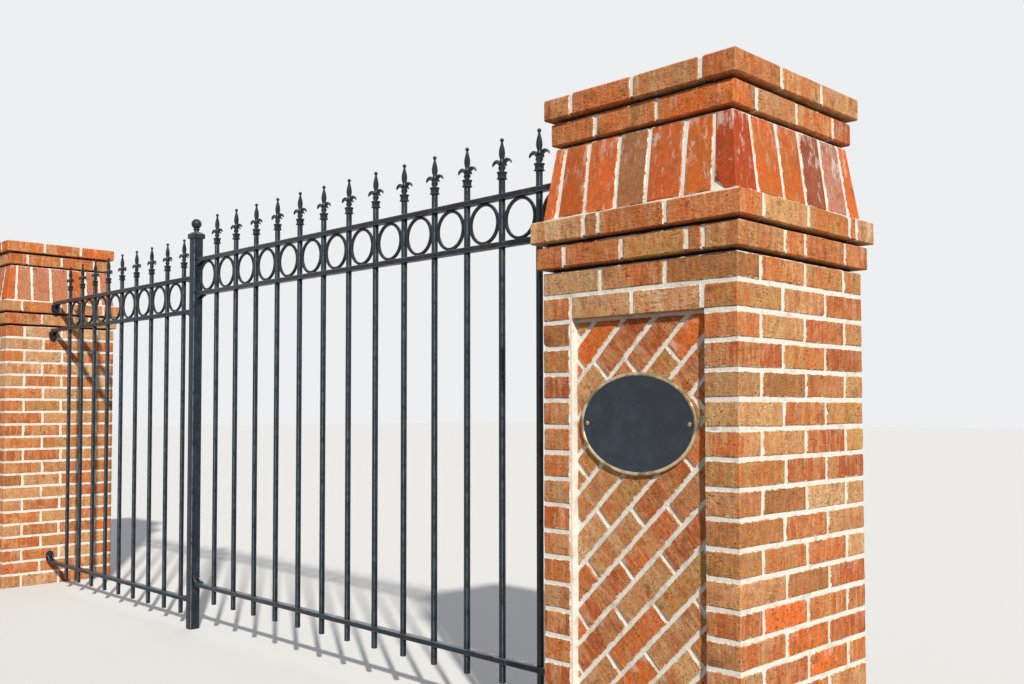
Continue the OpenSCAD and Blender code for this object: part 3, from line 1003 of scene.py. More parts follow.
@dataclass
class Pier:
    """One brick pier: recessed shaft, diagonal bricks, two corbelled bands, soldiers and cap.

    A course's height goes from joint to joint. The width and thickness are a brick's, and the length
    spread is how far the shaft's bricks differ in length. The two deeps are how far the diagonal bricks
    and the bricks on end go in, and no diagonal brick is laid that shows less than the sliver. Bricks
    stand back from the CAD's face by the set back, and the mortar by the rake. The dark beds under the
    courses of the head stand back by the deep rake, go up by the dark rise, and overlap the mortar above
    and below by the lap; their mortar carries painted shade. Bricks on end and diagonal bricks leave the
    tight share of a joint at the edge of their course. Of the half width of the course on end, the core
    doesn't lean and the shell does more and more towards the face, and its mortar is folded between the two.
    """

    side: Side
    brick_finish: bpy.types.Material
    soldier_finish: bpy.types.Material
    mortar_finish: bpy.types.Material
    seed: int
    band_lower: FaceRuns
    band_upper: FaceRuns
    cap_lower: FaceRuns
    cap_upper: FaceRuns
    soldier_corners: dict[tuple[int, int], CornerSoldier]
    soldier_runs: FaceRuns
    soldier_clays: dict[Face, Sequence[Clay]]
    diagonal_phases: Sequence[float]
    course: float = 0.068
    width: float = 0.092
    thick: float = 0.058
    joint: float = 0.010
    length_spread: float = 0.03
    diagonal_deep: float = 0.040
    sliver: float = 0.014
    soldier_deep: float = 0.057
    set_back: float = 0.0014
    rake: float = 0.0042
    deep_rake: float = 0.022
    tight: float = 0.35
    lap: float = 0.002
    dark_rise: float = 0.008
    cap_brick_drop: float = 0.0016
    cap_mortar_drop: float = 0.0065
    core: float = 0.66
    shell: float = 0.34
    fold: float = 0.67
    foot_lift: float = 0.020
    mortar_mesh: float = 0.034
    mortar_lumps: float = 31.0
    mortar_depth: float = 0.0016
    mortar: bmesh.types.BMesh = field(default_factory=bmesh.new)

    def node(self, part: str) -> str:
        """The CAD node of one of this pier's parts."""
        return f"{self.side.value}_{part}"

    def limits(self, part: str) -> tuple[Vector, Vector]:
        """Lowest and highest corner of a part."""
        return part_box(self.node(part))

    def middle(self) -> Vector:
        """The pier's axis at the ground."""
        low, high = self.limits("shaft")
        return Vector(((low.x + high.x) / 2, (low.y + high.y) / 2, 0.0))

    def set_brick(self, layer: Bricklayer, brick: Brick, bottom: float, top: float, bare: int) -> None:
        """Lays one brick of a level course, a little out of true.

        Args:
            layer: who lays it.
            brick: the brick in plan.
            bottom: the height of its foot.
            top: the height of its head.
            bare: which of its beds has no joint: -1, 1, 2 for both or 0 for neither.
        """
        draw = layer.chance
        at = self.middle() + Vector((brick.x, brick.y, (bottom + top) / 2))
        turn = math.pi / 2 if brick.turned else 0.0
        place = (Matrix.Translation(at) @ Matrix.Rotation(turn + math.radians(draw.gauss(0, 0.10)), 4, "Z")
                 @ Matrix.Rotation(math.radians(draw.gauss(0, 0.18)), 4, "Y"))
        outward = -math.copysign(1, brick.x) if brick.turned else math.copysign(1, brick.y)
        layer.lay(Vector((brick.along, brick.across, top - bottom)), place, None,
                  (brick.bare_end, int(outward), bare))

    @staticmethod
    def end_at(at: float, length: float, half: float) -> int:
        """Which end of a brick stands at the pier's corner, or 0."""
        return int(math.copysign(1, at)) if abs(at) + length / 2 > half - 0.001 else 0

    def round_course(self, half: float, bond: Bond, runs: FaceRuns, recessed: bool = False) -> list[Brick]:
        """Plans the bricks round one course.

        Args:
            half: half the course's width over its bricks.
            bond: which faces run through.
            runs: the distances from joint to joint on each face.
            recessed: whether the street face is open between its corners.

        Returns:
            The course's bricks in plan.
        """
        bricks = []
        inner = half - self.width - self.joint
        row = half - self.width / 2
        for face in Face:
            axis, sign = face.value
            through = (bond is Bond.STREET) == (axis == 0)
            reach = half if through else inner
            if recessed and face is Face.STREET:
                if through:
                    bricks += [Brick(end * row, sign * row, self.width, self.width, False, end)
                               for end in (-1, 1)]
                continue
            for at, length in steps_along(-reach, reach, runs.on(face), self.joint):
                x, y = (at, sign * row) if axis == 0 else (sign * row, at)
                bricks.append(Brick(x, y, length, self.width, axis == 1, self.end_at(at, length, half)))
        return bricks

    def lay_shaft(self) -> None:
        """Lays the shaft's courses from its top down, with the recess left open."""
        low, high = self.limits("shaft")
        panel_low, panel_high = self.limits("diagonal_panel")
        half = (high.x - low.x) / 2 - self.set_back
        layer = Bricklayer(self.seed, WALL_MIX)
        count = math.ceil((high.z - low.z) / self.course - 1e-6)
        for number in range(count):
            top = high.z - number * self.course
            bottom = max(top - self.course, low.z)
            middle = (top + bottom) / 2
            recessed = panel_low.z < middle < panel_high.z
            bond = Bond.STREET if number % 2 == 0 else Bond.SIDES
            wobble = [1 + layer.chance.uniform(-self.length_spread, self.length_spread)
                      for _ in range(12)]
            through, between = (3, 2) if bond is Bond.STREET else (2, 3)
            runs = FaceRuns(street=wobble[:through], back=wobble[3:3 + through],
                            left=wobble[6:6 + between], right=wobble[9:9 + between])
            foot = bottom + self.joint / 2 if number < count - 1 else low.z
            lintel = abs(bottom - panel_high.z) < self.joint
            for brick in self.round_course(half, bond, runs, recessed):
                open_below = lintel and not brick.turned and brick.y < 0
                self.set_brick(layer, brick, foot, top - self.joint / 2, -1 if open_below else 0)
        finish_piece(self.node("shaft_bricks"), layer.done(), self.brick_finish,
                     [self.node("shaft")])

    def lay_diagonal(self) -> None:
        """Lays the recess's bricks at 45 degrees, cut to its edges."""
        low, high = self.limits("diagonal_panel")
        shaft_top = self.limits("shaft")[1].z
        centre = self.middle()
        layer = Bricklayer(self.seed + 1, WALL_MIX)
        slope = Matrix.Rotation(-math.pi / 4, 4, "Y")
        edge = self.joint * self.tight
        trims = ((Vector((low.x + edge, 0, 0)), Vector((-1, 0, 0))),
                 (Vector((high.x - edge, 0, 0)), Vector((1, 0, 0))),
                 (Vector((0, 0, low.z + edge)), Vector((0, 0, -1))),
                 (Vector((0, 0, high.z - edge)), Vector((0, 0, 1))))
        pitch = 3 * self.course
        size = Vector((pitch - self.joint, self.diagonal_deep, self.thick))
        depth = low.y + self.set_back + size.y / 2
        reach = (high.x - low.x) / 2
        drop = shaft_top - low.z
        margin = 0.11
        for row in range(-1, math.ceil((reach + drop) / math.sqrt(2) / self.course) + 1):
            across = -(row + 0.5) * self.course
            phase = self.diagonal_phases[row % len(self.diagonal_phases)]
            for number in range(-12, 6):
                middle = slope @ Vector((phase + (number + 0.5) * pitch, 0, across))
                beside = abs(middle.x) > reach + margin
                if beside or not -drop - margin < middle.z < high.z - shaft_top + margin:
                    continue
                at = Vector((centre.x + middle.x, depth, shaft_top + middle.z))
                place = Matrix.Translation(at) @ slope
                if self.shows(place, size, low, high):
                    layer.lay(size, place, None, (0, -1, 0), trims)
        finish_piece(self.node("diagonal_bricks"), layer.done(), self.brick_finish,
                     [self.node("diagonal_panel")])

    def shows(self, place: Matrix, size: Vector, low: Vector, high: Vector) -> bool:
        """Looks whether enough of a slanting brick falls inside the recess to be laid.

        Args:
            place: where its middle goes and how it is turned.
            size: its length, depth and height.
            low: the recess's lowest corner.
            high: the recess's highest corner.

        Returns:
            Whether it shows.
        """
        least = self.sliver
        first, above, beyond = (place @ Vector((x * size.x / 2, 0, z * size.z / 2))
                                for x, z in ((-1, -1), (-1, 1), (1, -1)))
        across, along = above - first, beyond - first
        spots = [first + along * (a / 12) + across * (b / 4) for a in range(13) for b in range(5)]
        return any(low.x + least < spot.x < high.x - least and low.z + least < spot.z < high.z - least
                   for spot in spots)

    def lay_course(self, part: str, bond: Bond, runs: FaceRuns, seed: int, filled: bool = False) -> None:
        """Lays a single course of the head.

        Args:
            part: the course's part.
            bond: which faces run through.
            runs: the distances from joint to joint on each face.
            seed: what sets its clays apart from the other courses'.
            filled: whether its middle is laid too, because its top shows.
        """
        low, high = self.limits(part)
        half = (high.x - low.x) / 2 - self.set_back
        layer = Bricklayer(self.seed + seed, WALL_MIX)
        bottom = low.z + self.joint / 2
        top = high.z - self.cap_brick_drop if filled else high.z - self.joint / 2
        for brick in self.round_course(half, bond, runs):
            self.set_brick(layer, brick, bottom, top, 2)
        if filled:
            inner = half - self.width - self.joint
            for y, across in steps_along(-inner, inner, (1, 1, 1, 1), self.joint):
                for x, along in steps_along(-inner, inner, (1, 1), self.joint):
                    self.set_brick(layer, Brick(x, y, along, across, False), bottom, top, 2)
        finish_piece(self.node(part + "_bricks"), layer.done(), self.brick_finish,
                     [self.node(part)])

    def soldier_top_half(self) -> float:
        """Measures the soldier course at its head.

        Returns:
            Half its width there.
        """
        high = self.limits("soldier_course")[1]
        centre = self.middle()
        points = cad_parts[self.node("soldier_course")].data.vertices
        return max(point.co.x - centre.x for point in points if point.co.z > high.z - 0.001)

    def lean(self, point: Vector, low: Vector, high: Vector, top_half: float) -> Vector:
        """Leans a point of the soldier course inwards with its height.

        Args:
            point: the point, upright.
            low: the course's lowest corner.
            high: the course's highest corner.
            top_half: half its width at its head.

        Returns:
            Where the point goes.
        """
        centre = self.middle()
        half = (high.x - low.x) / 2
        rise = (point.z - low.z) / (high.z - low.z)
        moved = point.copy()
        for axis in (0, 1):
            out = point[axis] - centre[axis]
            share = min(1.0, max(0.0, (abs(out) - half * self.core) / (half * self.shell)))
            moved[axis] -= math.copysign((half - top_half) * rise * share, out)
        return moved

    def plan_soldiers(self, half: float) -> list[Soldier]:
        """Plans the bricks on end: the corners first, then face by face.

        Args:
            half: half the course's width over its bricks, at its foot.

        Returns:
            The course's bricks in plan.
        """
        plan = []
        for (x, y), corner in self.soldier_corners.items():
            middle = Vector((x * (half - corner.street / 2), y * (half - corner.side / 2), 0))
            plan.append(Soldier(middle, Vector((corner.street, corner.side, 0)), corner.clay,
                                corner.slanted))
        deep = self.soldier_deep
        for face in Face:
            axis, sign = face.value
            first, last = (half - self.soldier_corners[face.corner(end)].width(axis) - self.joint
                           for end in (-1, 1))
            listed = self.soldier_clays.get(face, ())
            row = steps_along(-first, last, self.soldier_runs.on(face), self.joint)
            for number, (at, length) in enumerate(row):
                middle = Vector((at, sign * (half - deep / 2), 0))
                size = Vector((length, deep, 0))
                clay = listed[number] if number < len(listed) else None
                plan.append(Soldier(middle.yxz, size.yxz, clay) if axis else Soldier(middle, size, clay))
        return plan

    def lay_soldiers(self) -> None:
        """Lays the course of bricks on end, each face leaning in as it rises."""
        low, high = self.limits("soldier_course")
        top_half = self.soldier_top_half()
        half = (high.x - low.x) / 2 - self.set_back
        layer = Bricklayer(self.seed + 5, SOLDIER_MIX)
        bottom = low.z + self.joint * self.tight
        top = high.z - self.joint * self.tight
        upright = Matrix.Rotation(-math.pi / 2, 4, "Y")
        for soldier in self.plan_soldiers(half):
            at = self.middle() + soldier.middle + Vector((0, 0, (bottom + top) / 2))
            end_x, end_y = (self.end_at(soldier.middle[axis], soldier.size[axis], half) for axis in (0, 1))
            laid = layer.lay(Vector((top - bottom, soldier.size.y, soldier.size.x)),
                             Matrix.Translation(at) @ upright, soldier.clay, (0, end_y, -end_x))
            for point in laid:
                point.co = self.lean(point.co, low, high, top_half)
            if soldier.slanted:
                self.slant_foot(laid)
        finish_piece(self.node("soldier_bricks"), layer.done(), self.soldier_finish,
                     [self.node("soldier_course")])

    def slant_foot(self, laid: Sequence[bmesh.types.BMVert]) -> None:
        """Lifts the left end of a brick's foot, so that the mortar under it shows.

        Args:
            laid: the brick's points.
        """
        left = min(point.co.x for point in laid)
        foot = min(point.co.z for point in laid)
        for point in laid:
            if point.co.x < left + self.foot_lift and point.co.z < foot + self.foot_lift / 2:
                point.co.z += self.foot_lift

    def bed(self, half: float, bottom: float, top: float, painted_shade: float = 0.0) -> None:
        """Adds a square block of mortar round the pier's axis.

        Args:
            half: half its width.
            bottom: the height of its foot.
            top: the height of its head.
            painted_shade: how much painted shade darkens it, from 0 to 1.
        """
        centre = self.middle()
        layers = self.mortar.verts.layers.float
        layer = layers.get("painted_shade") or layers.new("painted_shade")
        for point in slab(self.mortar, Vector((centre.x - half, centre.y - half, bottom)),
                          Vector((centre.x + half, centre.y + half, top))):
            point[layer] = painted_shade

    def fill_soldiers(self) -> None:
        """Makes the mortar behind the soldier course, before any other, and leans it in."""
        low, high = self.limits("soldier_course")
        half = (high.x - low.x) / 2
        self.bed(half - self.rake, low.z, high.z - self.joint * self.tight)
        for spread in (-self.fold, self.fold):
            for normal in (Vector((1, 0, 0)), Vector((0, 1, 0))):
                cut_through(self.mortar, self.middle() + normal * spread * half, normal)
        top_half = self.soldier_top_half()
        for point in self.mortar.verts:
            point.co = self.lean(point.co, low, high, top_half)

    def push_recess(self) -> None:
        """Pushes the recess's back into the shaft's mortar, a little past the far and upper edges."""
        low, high = self.limits("shaft")
        panel_low, panel_high = self.limits("diagonal_panel")
        panel_high += Vector((self.joint * 0.6, 0, self.joint * 0.8))
        for point, normal in ((panel_low, Vector((1, 0, 0))), (panel_high, Vector((1, 0, 0))),
                              (panel_low, Vector((0, 0, 1))), (panel_high, Vector((0, 0, 1)))):
            cut_through(self.mortar, point, normal)
        self.mortar.normal_update()
        door = [f for f in self.mortar.faces if f.normal.y < -0.9
                and panel_low.x < f.calc_center_median().x < panel_high.x
                and panel_low.z < f.calc_center_median().z < panel_high.z]
        pushed, _ = pulled(self.mortar, door)
        bmesh.ops.translate(self.mortar, vec=(0, panel_low.y - low.y + 0.001, 0), verts=pushed)

    def fill_joints(self) -> None:
        """Makes the mortar of the whole pier, with the recess's pocket in its street face."""
        self.fill_soldiers()
        low, high = self.limits("shaft")
        bed = self.joint / 2
        below = (high.x - low.x) / 2
        self.bed(below - self.rake, low.z, high.z - bed)
        self.push_recess()
        for part in ("band_lower", "band_upper", "soldier_course", "cap_lower", "cap_upper"):
            low, high = self.limits(part)
            own = (high.x - low.x) / 2
            if part == "soldier_course":
                self.bed(own - self.rake, low.z - bed, low.z)
                below = self.soldier_top_half()
                continue
            foot = low.z + bed
            # Deep raked bed under each course of the head, its mortar darkened with painted shade.
            self.bed(min(own, below) - self.deep_rake, low.z - bed - self.lap, foot + self.dark_rise, 1.0)
            top = high.z - (self.cap_mortar_drop if part == "cap_upper" else bed)
            self.bed(own - self.rake, foot + (self.dark_rise - self.lap), top)
            below = own
        self.roughen_mortar()
        nodes = [self.node(p) for p in ("shaft", "diagonal_panel", "band_lower", "band_upper",
                                        "soldier_course", "cap_lower", "cap_upper")]
        finish_piece(self.node("mortar"), self.mortar, self.mortar_finish, nodes, 50.0)

    def roughen_mortar(self) -> None:
        """Divides the mortar finely enough to be uneven, and makes it so."""
        low, high = self.limits("shaft")
        cap_top = self.limits("cap_upper")[1].z
        step = self.mortar_mesh
        for number in range(1, int((high.x - low.x) / step)):
            cut_through(self.mortar, Vector((low.x + number * step, 0, 0)), Vector((1, 0, 0)))
            cut_through(self.mortar, Vector((0, low.y + number * step, 0)), Vector((0, 1, 0)))
        for number in range(1, int(cap_top / step)):
            cut_through(self.mortar, Vector((0, 0, number * step)), Vector((0, 0, 1)))
        for point in self.mortar.verts:
            point.co += noise.noise_vector(point.co * self.mortar_lumps) * self.mortar_depth
            point.co.z = max(point.co.z, low.z)

    def build(self) -> None:
        """Builds the pier from the ground up."""
        self.lay_shaft()
        self.lay_diagonal()
        self.lay_course("band_lower", Bond.SIDES, self.band_lower, 2)
        self.lay_course("band_upper", Bond.STREET, self.band_upper, 3)
        self.lay_soldiers()
        self.lay_course("cap_lower", Bond.STREET, self.cap_lower, 6)
        self.lay_course("cap_upper", Bond.SIDES, self.cap_upper, 7, filled=True)
        self.fill_joints()


# Plaque

@dataclass
class Plaque:
    """Bare oval plaque on the diagonal bricks: dark field, rounded bronze rim and two screws.

    The field reaches under the rim by the tuck. Inside its border it slopes down to where it is sunk.
    The screw head's profile is given as shares of its radius and its height.
    """

    field_finish: bpy.types.Material
    bronze: bpy.types.Material
    rim_width: float = 0.009
    rim_round: float = 0.40
    segments: int = 112
    tuck: float = 0.001
    border: float = 0.004
    slope: float = 0.003
    sunk: float = 0.0009
    head: Sequence[tuple[float, float]] = ((0.0, 0.0), (1.0, 0.0), (0.92, 0.42), (0.66, 0.8), (0.3, 0.97),
                                           (0.0, 1.0))

    def oval(self, shape: bmesh.types.BMesh, half_x: float, half_z: float, y: float,
             centre: Vector) -> None:
        """Adds a filled oval that faces the street.

        Args:
            shape: the bmesh that it is added to.
            half_x: half its width.
            half_z: half its height.
            y: how far back it stands.
            centre: its middle.
        """
        place = (Matrix.Translation((centre.x, y, centre.z)) @ Matrix.Rotation(math.pi / 2, 4, "X")
                 @ Matrix.Diagonal((half_x, half_z, 1.0, 1.0)))
        bmesh.ops.create_circle(shape, cap_ends=True, segments=self.segments, radius=1.0, matrix=place)

    def raise_face(self, shape: bmesh.types.BMesh, amount: float) -> list[bmesh.types.BMVert]:
        """Draws all faces out towards the street.

        Args:
            shape: the bmesh that they belong to.
            amount: how far they are drawn out.

        Returns:
            The new points.
        """
        points, _ = pulled(shape, shape.faces[:])
        bmesh.ops.translate(shape, vec=(0, -amount, 0), verts=points)
        return points

    def build_field(self) -> None:
        """Builds the plate, with a flat border and a little sunk within."""
        low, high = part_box("plaque_plate")
        shape = bmesh.new()
        self.oval(shape, (high.x - low.x) / 2 + self.tuck, (high.z - low.z) / 2 + self.tuck, high.y,
                  (low + high) / 2)
        top = self.raise_face(shape, high.y - low.y)
        front = next(f for f in top[0].link_faces if all(v in top for v in f.verts))
        bmesh.ops.inset_region(shape, faces=[front], thickness=self.border, depth=0.0)
        bmesh.ops.inset_region(shape, faces=[front], thickness=self.slope, depth=-self.sunk)
        finish_piece("plaque_field_plate", shape, self.field_finish, ["plaque_plate"])

    def build_rim(self) -> None:
        """Builds the rim, rounded over its front."""
        low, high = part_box("plaque_rim")
        shape = bmesh.new()
        self.oval(shape, (high.x - low.x) / 2, (high.z - low.z) / 2, high.y, (low + high) / 2)
        disc = shape.faces[:]
        bmesh.ops.inset_region(shape, faces=disc, thickness=self.rim_width, use_even_offset=True,
                               use_boundary=True)
        bmesh.ops.delete(shape, geom=disc, context="FACES_ONLY")
        raised = self.raise_face(shape, high.y - low.y)
        crown = [e for e in edges_of(raised) if len(e.link_faces) == 2
                 and e.calc_face_angle(0.0) > 1.0]
        soften(shape, crown, self.rim_width * self.rim_round, 4)
        finish_piece("plaque_rounded_rim", shape, self.bronze, ["plaque_rim"], 40.0)

    def build_screws(self) -> None:
        """Builds the two round heads."""
        low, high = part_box("plaque_screws")
        radius = (high.z - low.z) / 2
        height = high.y - low.y
        head = bmesh.new()
        spun(head, [(radius * out, height * up) for out, up in self.head], 20)
        bmesh.ops.rotate(head, cent=(0, 0, 0), matrix=Matrix.Rotation(math.pi / 2, 3, "X"),
                         verts=head.verts[:])
        places = [Vector((x, high.y, (low.z + high.z) / 2)) for x in (low.x + radius, high.x - radius)]
        finish_piece("plaque_round_screws", repeated(head, places), self.bronze,
                     ["plaque_screws"])

    def build(self) -> None:
        """Builds the whole plaque."""
        self.build_field()
        self.build_rim()
        self.build_screws()


# Ironwork

@dataclass
class Finial:
    """One cast finial: ribbed collar, neck, long and short leaves with small curls, spear and ball.

    The leaf level and the spear foot are heights above the finial's foot. The valley is how far the
    hollows between the spear's blades come in, as a share of a round spear.
    """

    collar: float = 0.024
    collar_height: float = 0.027
    rib_depth: float = 0.0020
    neck: float = 0.012
    leaf_level: float = 0.045
    side_reach: float = 0.043
    front_reach: float = 0.020
    leaf_half: float = 0.0085
    curl: float = 0.0145
    blade: float = 0.0100
    valley: float = 0.58
    spear_foot: float = 0.060
    spear_height: float = 0.060
    tip: float = 0.0135

    def add_collar(self, shape: bmesh.types.BMesh) -> None:
        """Adds the square collar, with a rib round its foot and another round its head.

        Args:
            shape: the finial's bmesh.
        """
        rib = self.collar_height / 6
        full = self.collar / 2
        waist = full - self.rib_depth
        levels = ((full, 0.0), (full, rib), (waist, rib + 0.0012), (waist, self.collar_height - 2.1 * rib),
                  (full, self.collar_height - 1.8 * rib), (full, self.collar_height - 0.7 * rib),
                  (waist, self.collar_height - 0.3 * rib), (waist * 0.7, self.collar_height))
        stations = [station(0, 0, z, half * math.sqrt(2)) for half, z in levels]
        points = drawn_out(shape, 4, stations, math.pi / 4)
        shape.normal_update()
        soften(shape, [e for e in edges_of(points) if e.calc_face_angle(0.0) > 0.5], 0.0006, 1)

    def add_neck(self, shape: bmesh.types.BMesh) -> None:
        """Adds the turned neck under the leaves.

        Args:
            shape: the finial's bmesh.
        """
        foot = self.collar_height - 0.002
        head = self.spear_foot + 0.004
        half = self.neck / 2
        spun(shape, ((0.0, foot), (half * 1.5, foot), (half, foot + 0.004), (half * 1.05, foot + 0.010),
                     (half * 1.4, self.leaf_level), (half * 1.6, self.leaf_level + 0.007),
                     (half * 1.1, head), (0.0, head)), 14)

    def add_blade(self, shape: bmesh.types.BMesh, quarter: int, reach: float, half_wide: float,
                  spine: Sequence[tuple[float, float, float, float, float]]) -> None:
        """Draws one leaf or curl out of the neck.

        Args:
            shape: the bmesh that it is added to.
            quarter: how many quarter turns from the right it points.
            reach: how far it goes out.
            half_wide: half its greatest width.
            spine: at each station the way out, the rise, the width, the thickness and the lean, as
                shares of the reach and the width, and radians.
        """
        turn = Matrix.Rotation(quarter * math.pi / 2, 4, "Z")
        drawn_out(shape, 6, [turn @ Matrix.Translation((reach * x, 0, self.leaf_level + reach * z))
                             @ Matrix.Rotation(math.pi / 2 + lean, 4, "Y")
                             @ Matrix.Diagonal((reach * thick, half_wide * width, 1.0, 1.0))
                             for x, z, width, thick, lean in spine])

    def add_leaves(self, shape: bmesh.types.BMesh) -> None:
        """Adds long leaves along the fence, short ones across it, and a curl under each long one.

        Args:
            shape: the finial's bmesh.
        """
        leaf = ((0.08, -0.04, 0.60, 0.15, -1.10), (0.20, 0.15, 0.85, 0.165, -0.95),
                (0.37, 0.30, 1.00, 0.155, -0.50), (0.57, 0.36, 1.00, 0.135, -0.05),
                (0.77, 0.30, 0.86, 0.105, 0.42), (0.91, 0.17, 0.58, 0.070, 0.75),
                (0.99, 0.04, 0.16, 0.032, 0.95))
        loop = ((0.25, -0.05, 0.80, 0.15, 0.10), (0.66, -0.14, 1.00, 0.15, 0.55),
                (0.90, -0.48, 1.00, 0.14, 1.45), (0.80, -0.88, 0.90, 0.13, 2.00),
                (0.42, -1.16, 0.70, 0.12, 2.45))
        for quarter in (0, 2):
            self.add_blade(shape, quarter, self.side_reach, self.leaf_half, leaf)
            self.add_blade(shape, quarter, self.curl, self.leaf_half * 0.5, loop)
        for quarter in (1, 3):
            self.add_blade(shape, quarter, self.front_reach, self.leaf_half * 0.9, leaf)

    def add_spear(self, shape: bmesh.types.BMesh) -> None:
        """Adds the spear, with four blades towards the collar's corners, and the ball on its point.

        Args:
            shape: the finial's bmesh.
        """
        levels = ((0.50, 0.0), (0.76, 0.12), (0.94, 0.25), (1.0, 0.38), (0.93, 0.52), (0.76, 0.67),
                  (0.52, 0.82), (0.27, 1.0))
        stations = [station(0, 0, self.spear_foot + self.spear_height * z, self.blade * w)
                    for w, z in levels]
        for point in drawn_out(shape, 8, stations):
            if min(abs(point.co.x), abs(point.co.y)) < 0.3 * max(abs(point.co.x), abs(point.co.y)):
                point.co.x *= self.valley
                point.co.y *= self.valley
        ball = self.spear_foot + self.spear_height + self.tip * 0.32
        radius = self.tip / 2
        turns = [math.radians(d) for d in (-62, -38, -14, 12, 38, 64)]
        round_part = [(radius * math.cos(a), ball + radius * math.sin(a)) for a in turns]
        spun(shape, [(0.0, ball - radius)] + round_part + [(0.0, ball + radius)], 14)

    def build(self) -> bmesh.types.BMesh:
        """Builds one finial, standing on the origin.

        Returns:
            Its bmesh.
        """
        shape = bmesh.new()
        self.add_collar(shape)
        self.add_leaves(shape)
        self.add_spear(shape)
        self.add_neck(shape)
        return shape


@dataclass
class FencePanel:
    """One panel: three rails, square pickets, a band of rings and a finial on each picket.

    The picket rise is from the top rail's middle to the pickets' heads, and the two drops are from the
    same middle down to the ring rail's and the bottom rail's.
    """

    side: Side
    iron: bpy.types.Material
    casting: bpy.types.Material
    rail_height: float = 0.018
    rail_round: float = 0.0022
    picket_rise: float = 0.055
    band_drop: float = 0.150
    rail_drop: float = 1.434
    picket_width: float = 0.016
    picket_round: float = 0.0020
    ring_outer: float = 0.134
    ring_bar: float = 0.010
    ring_round: float = 0.0022

    def node(self, part: str) -> str:
        """The CAD node of one of this panel's parts."""
        return f"{self.side.value}_{part}"

    def corners(self) -> list[Vector]:
        """The corners of the panel's CAD solid."""
        return [v.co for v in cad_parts[self.node("panel")].data.vertices]

    def picket_places(self) -> list[float]:
        """Finds the pickets by their heads.

        Returns:
            Their middles along the run.
        """
        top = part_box(self.node("panel"))[1].z
        heads = sorted({round(c.x, 4) for c in self.corners() if c.z > top - 0.0005})
        return [(a + b) / 2 for a, b in zip(heads[::2], heads[1::2])]

    def rail_levels(self) -> list[float]:
        """The heights of the three rails' middles."""
        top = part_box(self.node("panel"))[1].z - self.picket_rise
        return [top, top - self.band_drop, top - self.rail_drop]

    def build_bars(self) -> None:
        """Builds the rails and the pickets, all with eased edges."""
        low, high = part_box(self.node("panel"))
        middle = (low.y + high.y) / 2
        shape = bmesh.new()
        for z in self.rail_levels():
            ends = [c.x for c in self.corners() if abs(abs(c.z - z) - self.rail_height / 2) < 0.0004
                    and abs(c.y - middle) > self.picket_width / 2 + 0.001]
            bar(shape, Vector((min(ends), low.y, z - self.rail_height / 2)),
                Vector((max(ends), high.y, z + self.rail_height / 2)), self.rail_round)
        half = self.picket_width / 2
        for x in self.picket_places():
            bar(shape, Vector((x - half, middle - half, low.z)), Vector((x + half, middle + half, high.z)),
                self.picket_round)
        finish_piece(self.node("panel_bars"), shape, self.iron, [self.node("panel")])

    def one_ring(self, half_deep: float) -> bmesh.types.BMesh:
        """Bends a bar with rounded edges into an upright ring about the origin.

        Args:
            half_deep: half the ring's depth.

        Returns:
            Its bmesh.
        """
        half_bar = self.ring_bar / 2
        section = (Matrix.Translation((self.ring_outer / 2 - half_bar, 0, 0))
                   @ Matrix.Rotation(math.pi / 2, 4, "X")
                   @ Matrix.Diagonal((half_bar * math.sqrt(2), half_deep * math.sqrt(2), 1, 1))
                   @ Matrix.Rotation(math.pi / 4, 4, "Z"))
        shape = bmesh.new()
        outline = bmesh.ops.create_circle(shape, cap_ends=False, segments=4, radius=1.0,
                                          matrix=section)["verts"]
        bmesh.ops.bevel(shape, geom=outline, offset=self.ring_round, offset_type="OFFSET", segments=2,
                        profile=0.5, affect="VERTICES", clamp_overlap=True, material=-1)
        bmesh.ops.spin(shape, geom=shape.verts[:] + shape.edges[:], cent=(0, 0, 0), axis=(0, 0, 1),
                       dvec=(0, 0, 0), angle=math.tau, steps=44, use_merge=True, use_normal_flip=False,
                       use_duplicate=False)
        bmesh.ops.rotate(shape, cent=(0, 0, 0), matrix=Matrix.Rotation(math.pi / 2, 3, "X"),
                         verts=shape.verts[:])
        return shape

    def build_rings(self) -> None:
        """Builds the band of rings, each a little flat where it meets the rails."""
        low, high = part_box(self.node("rings"))
        count = len(self.picket_places()) - (1 if self.side is Side.LEFT else 0)
        pitch = (high.x - low.x - self.ring_outer) / (count - 1)
        ring = self.one_ring((high.y - low.y) / 2)
        limit = (high.z - low.z) / 2
        for point in ring.verts:
            point.co.z = min(limit, max(-limit, point.co.z))
        first = low.x + self.ring_outer / 2
        places = [Vector((first + number * pitch, (low.y + high.y) / 2, (low.z + high.z) / 2))
                  for number in range(count)]
        finish_piece(self.node("ring_band"), repeated(ring, places), self.casting,
                     [self.node("rings")], 40.0)

    def build_finials(self) -> None:
        """Sets a finial on every picket."""
        low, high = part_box(self.node("finials"))
        places = [Vector((x, (low.y + high.y) / 2, low.z)) for x in self.picket_places()]
        finish_piece(self.node("leafed_finials"), repeated(Finial().build(), places), self.casting,
                     [self.node("finials")], 38.0)

    def build(self) -> None:
        """Builds the whole panel."""
        self.build_bars()
        self.build_rings()
        self.build_finials()


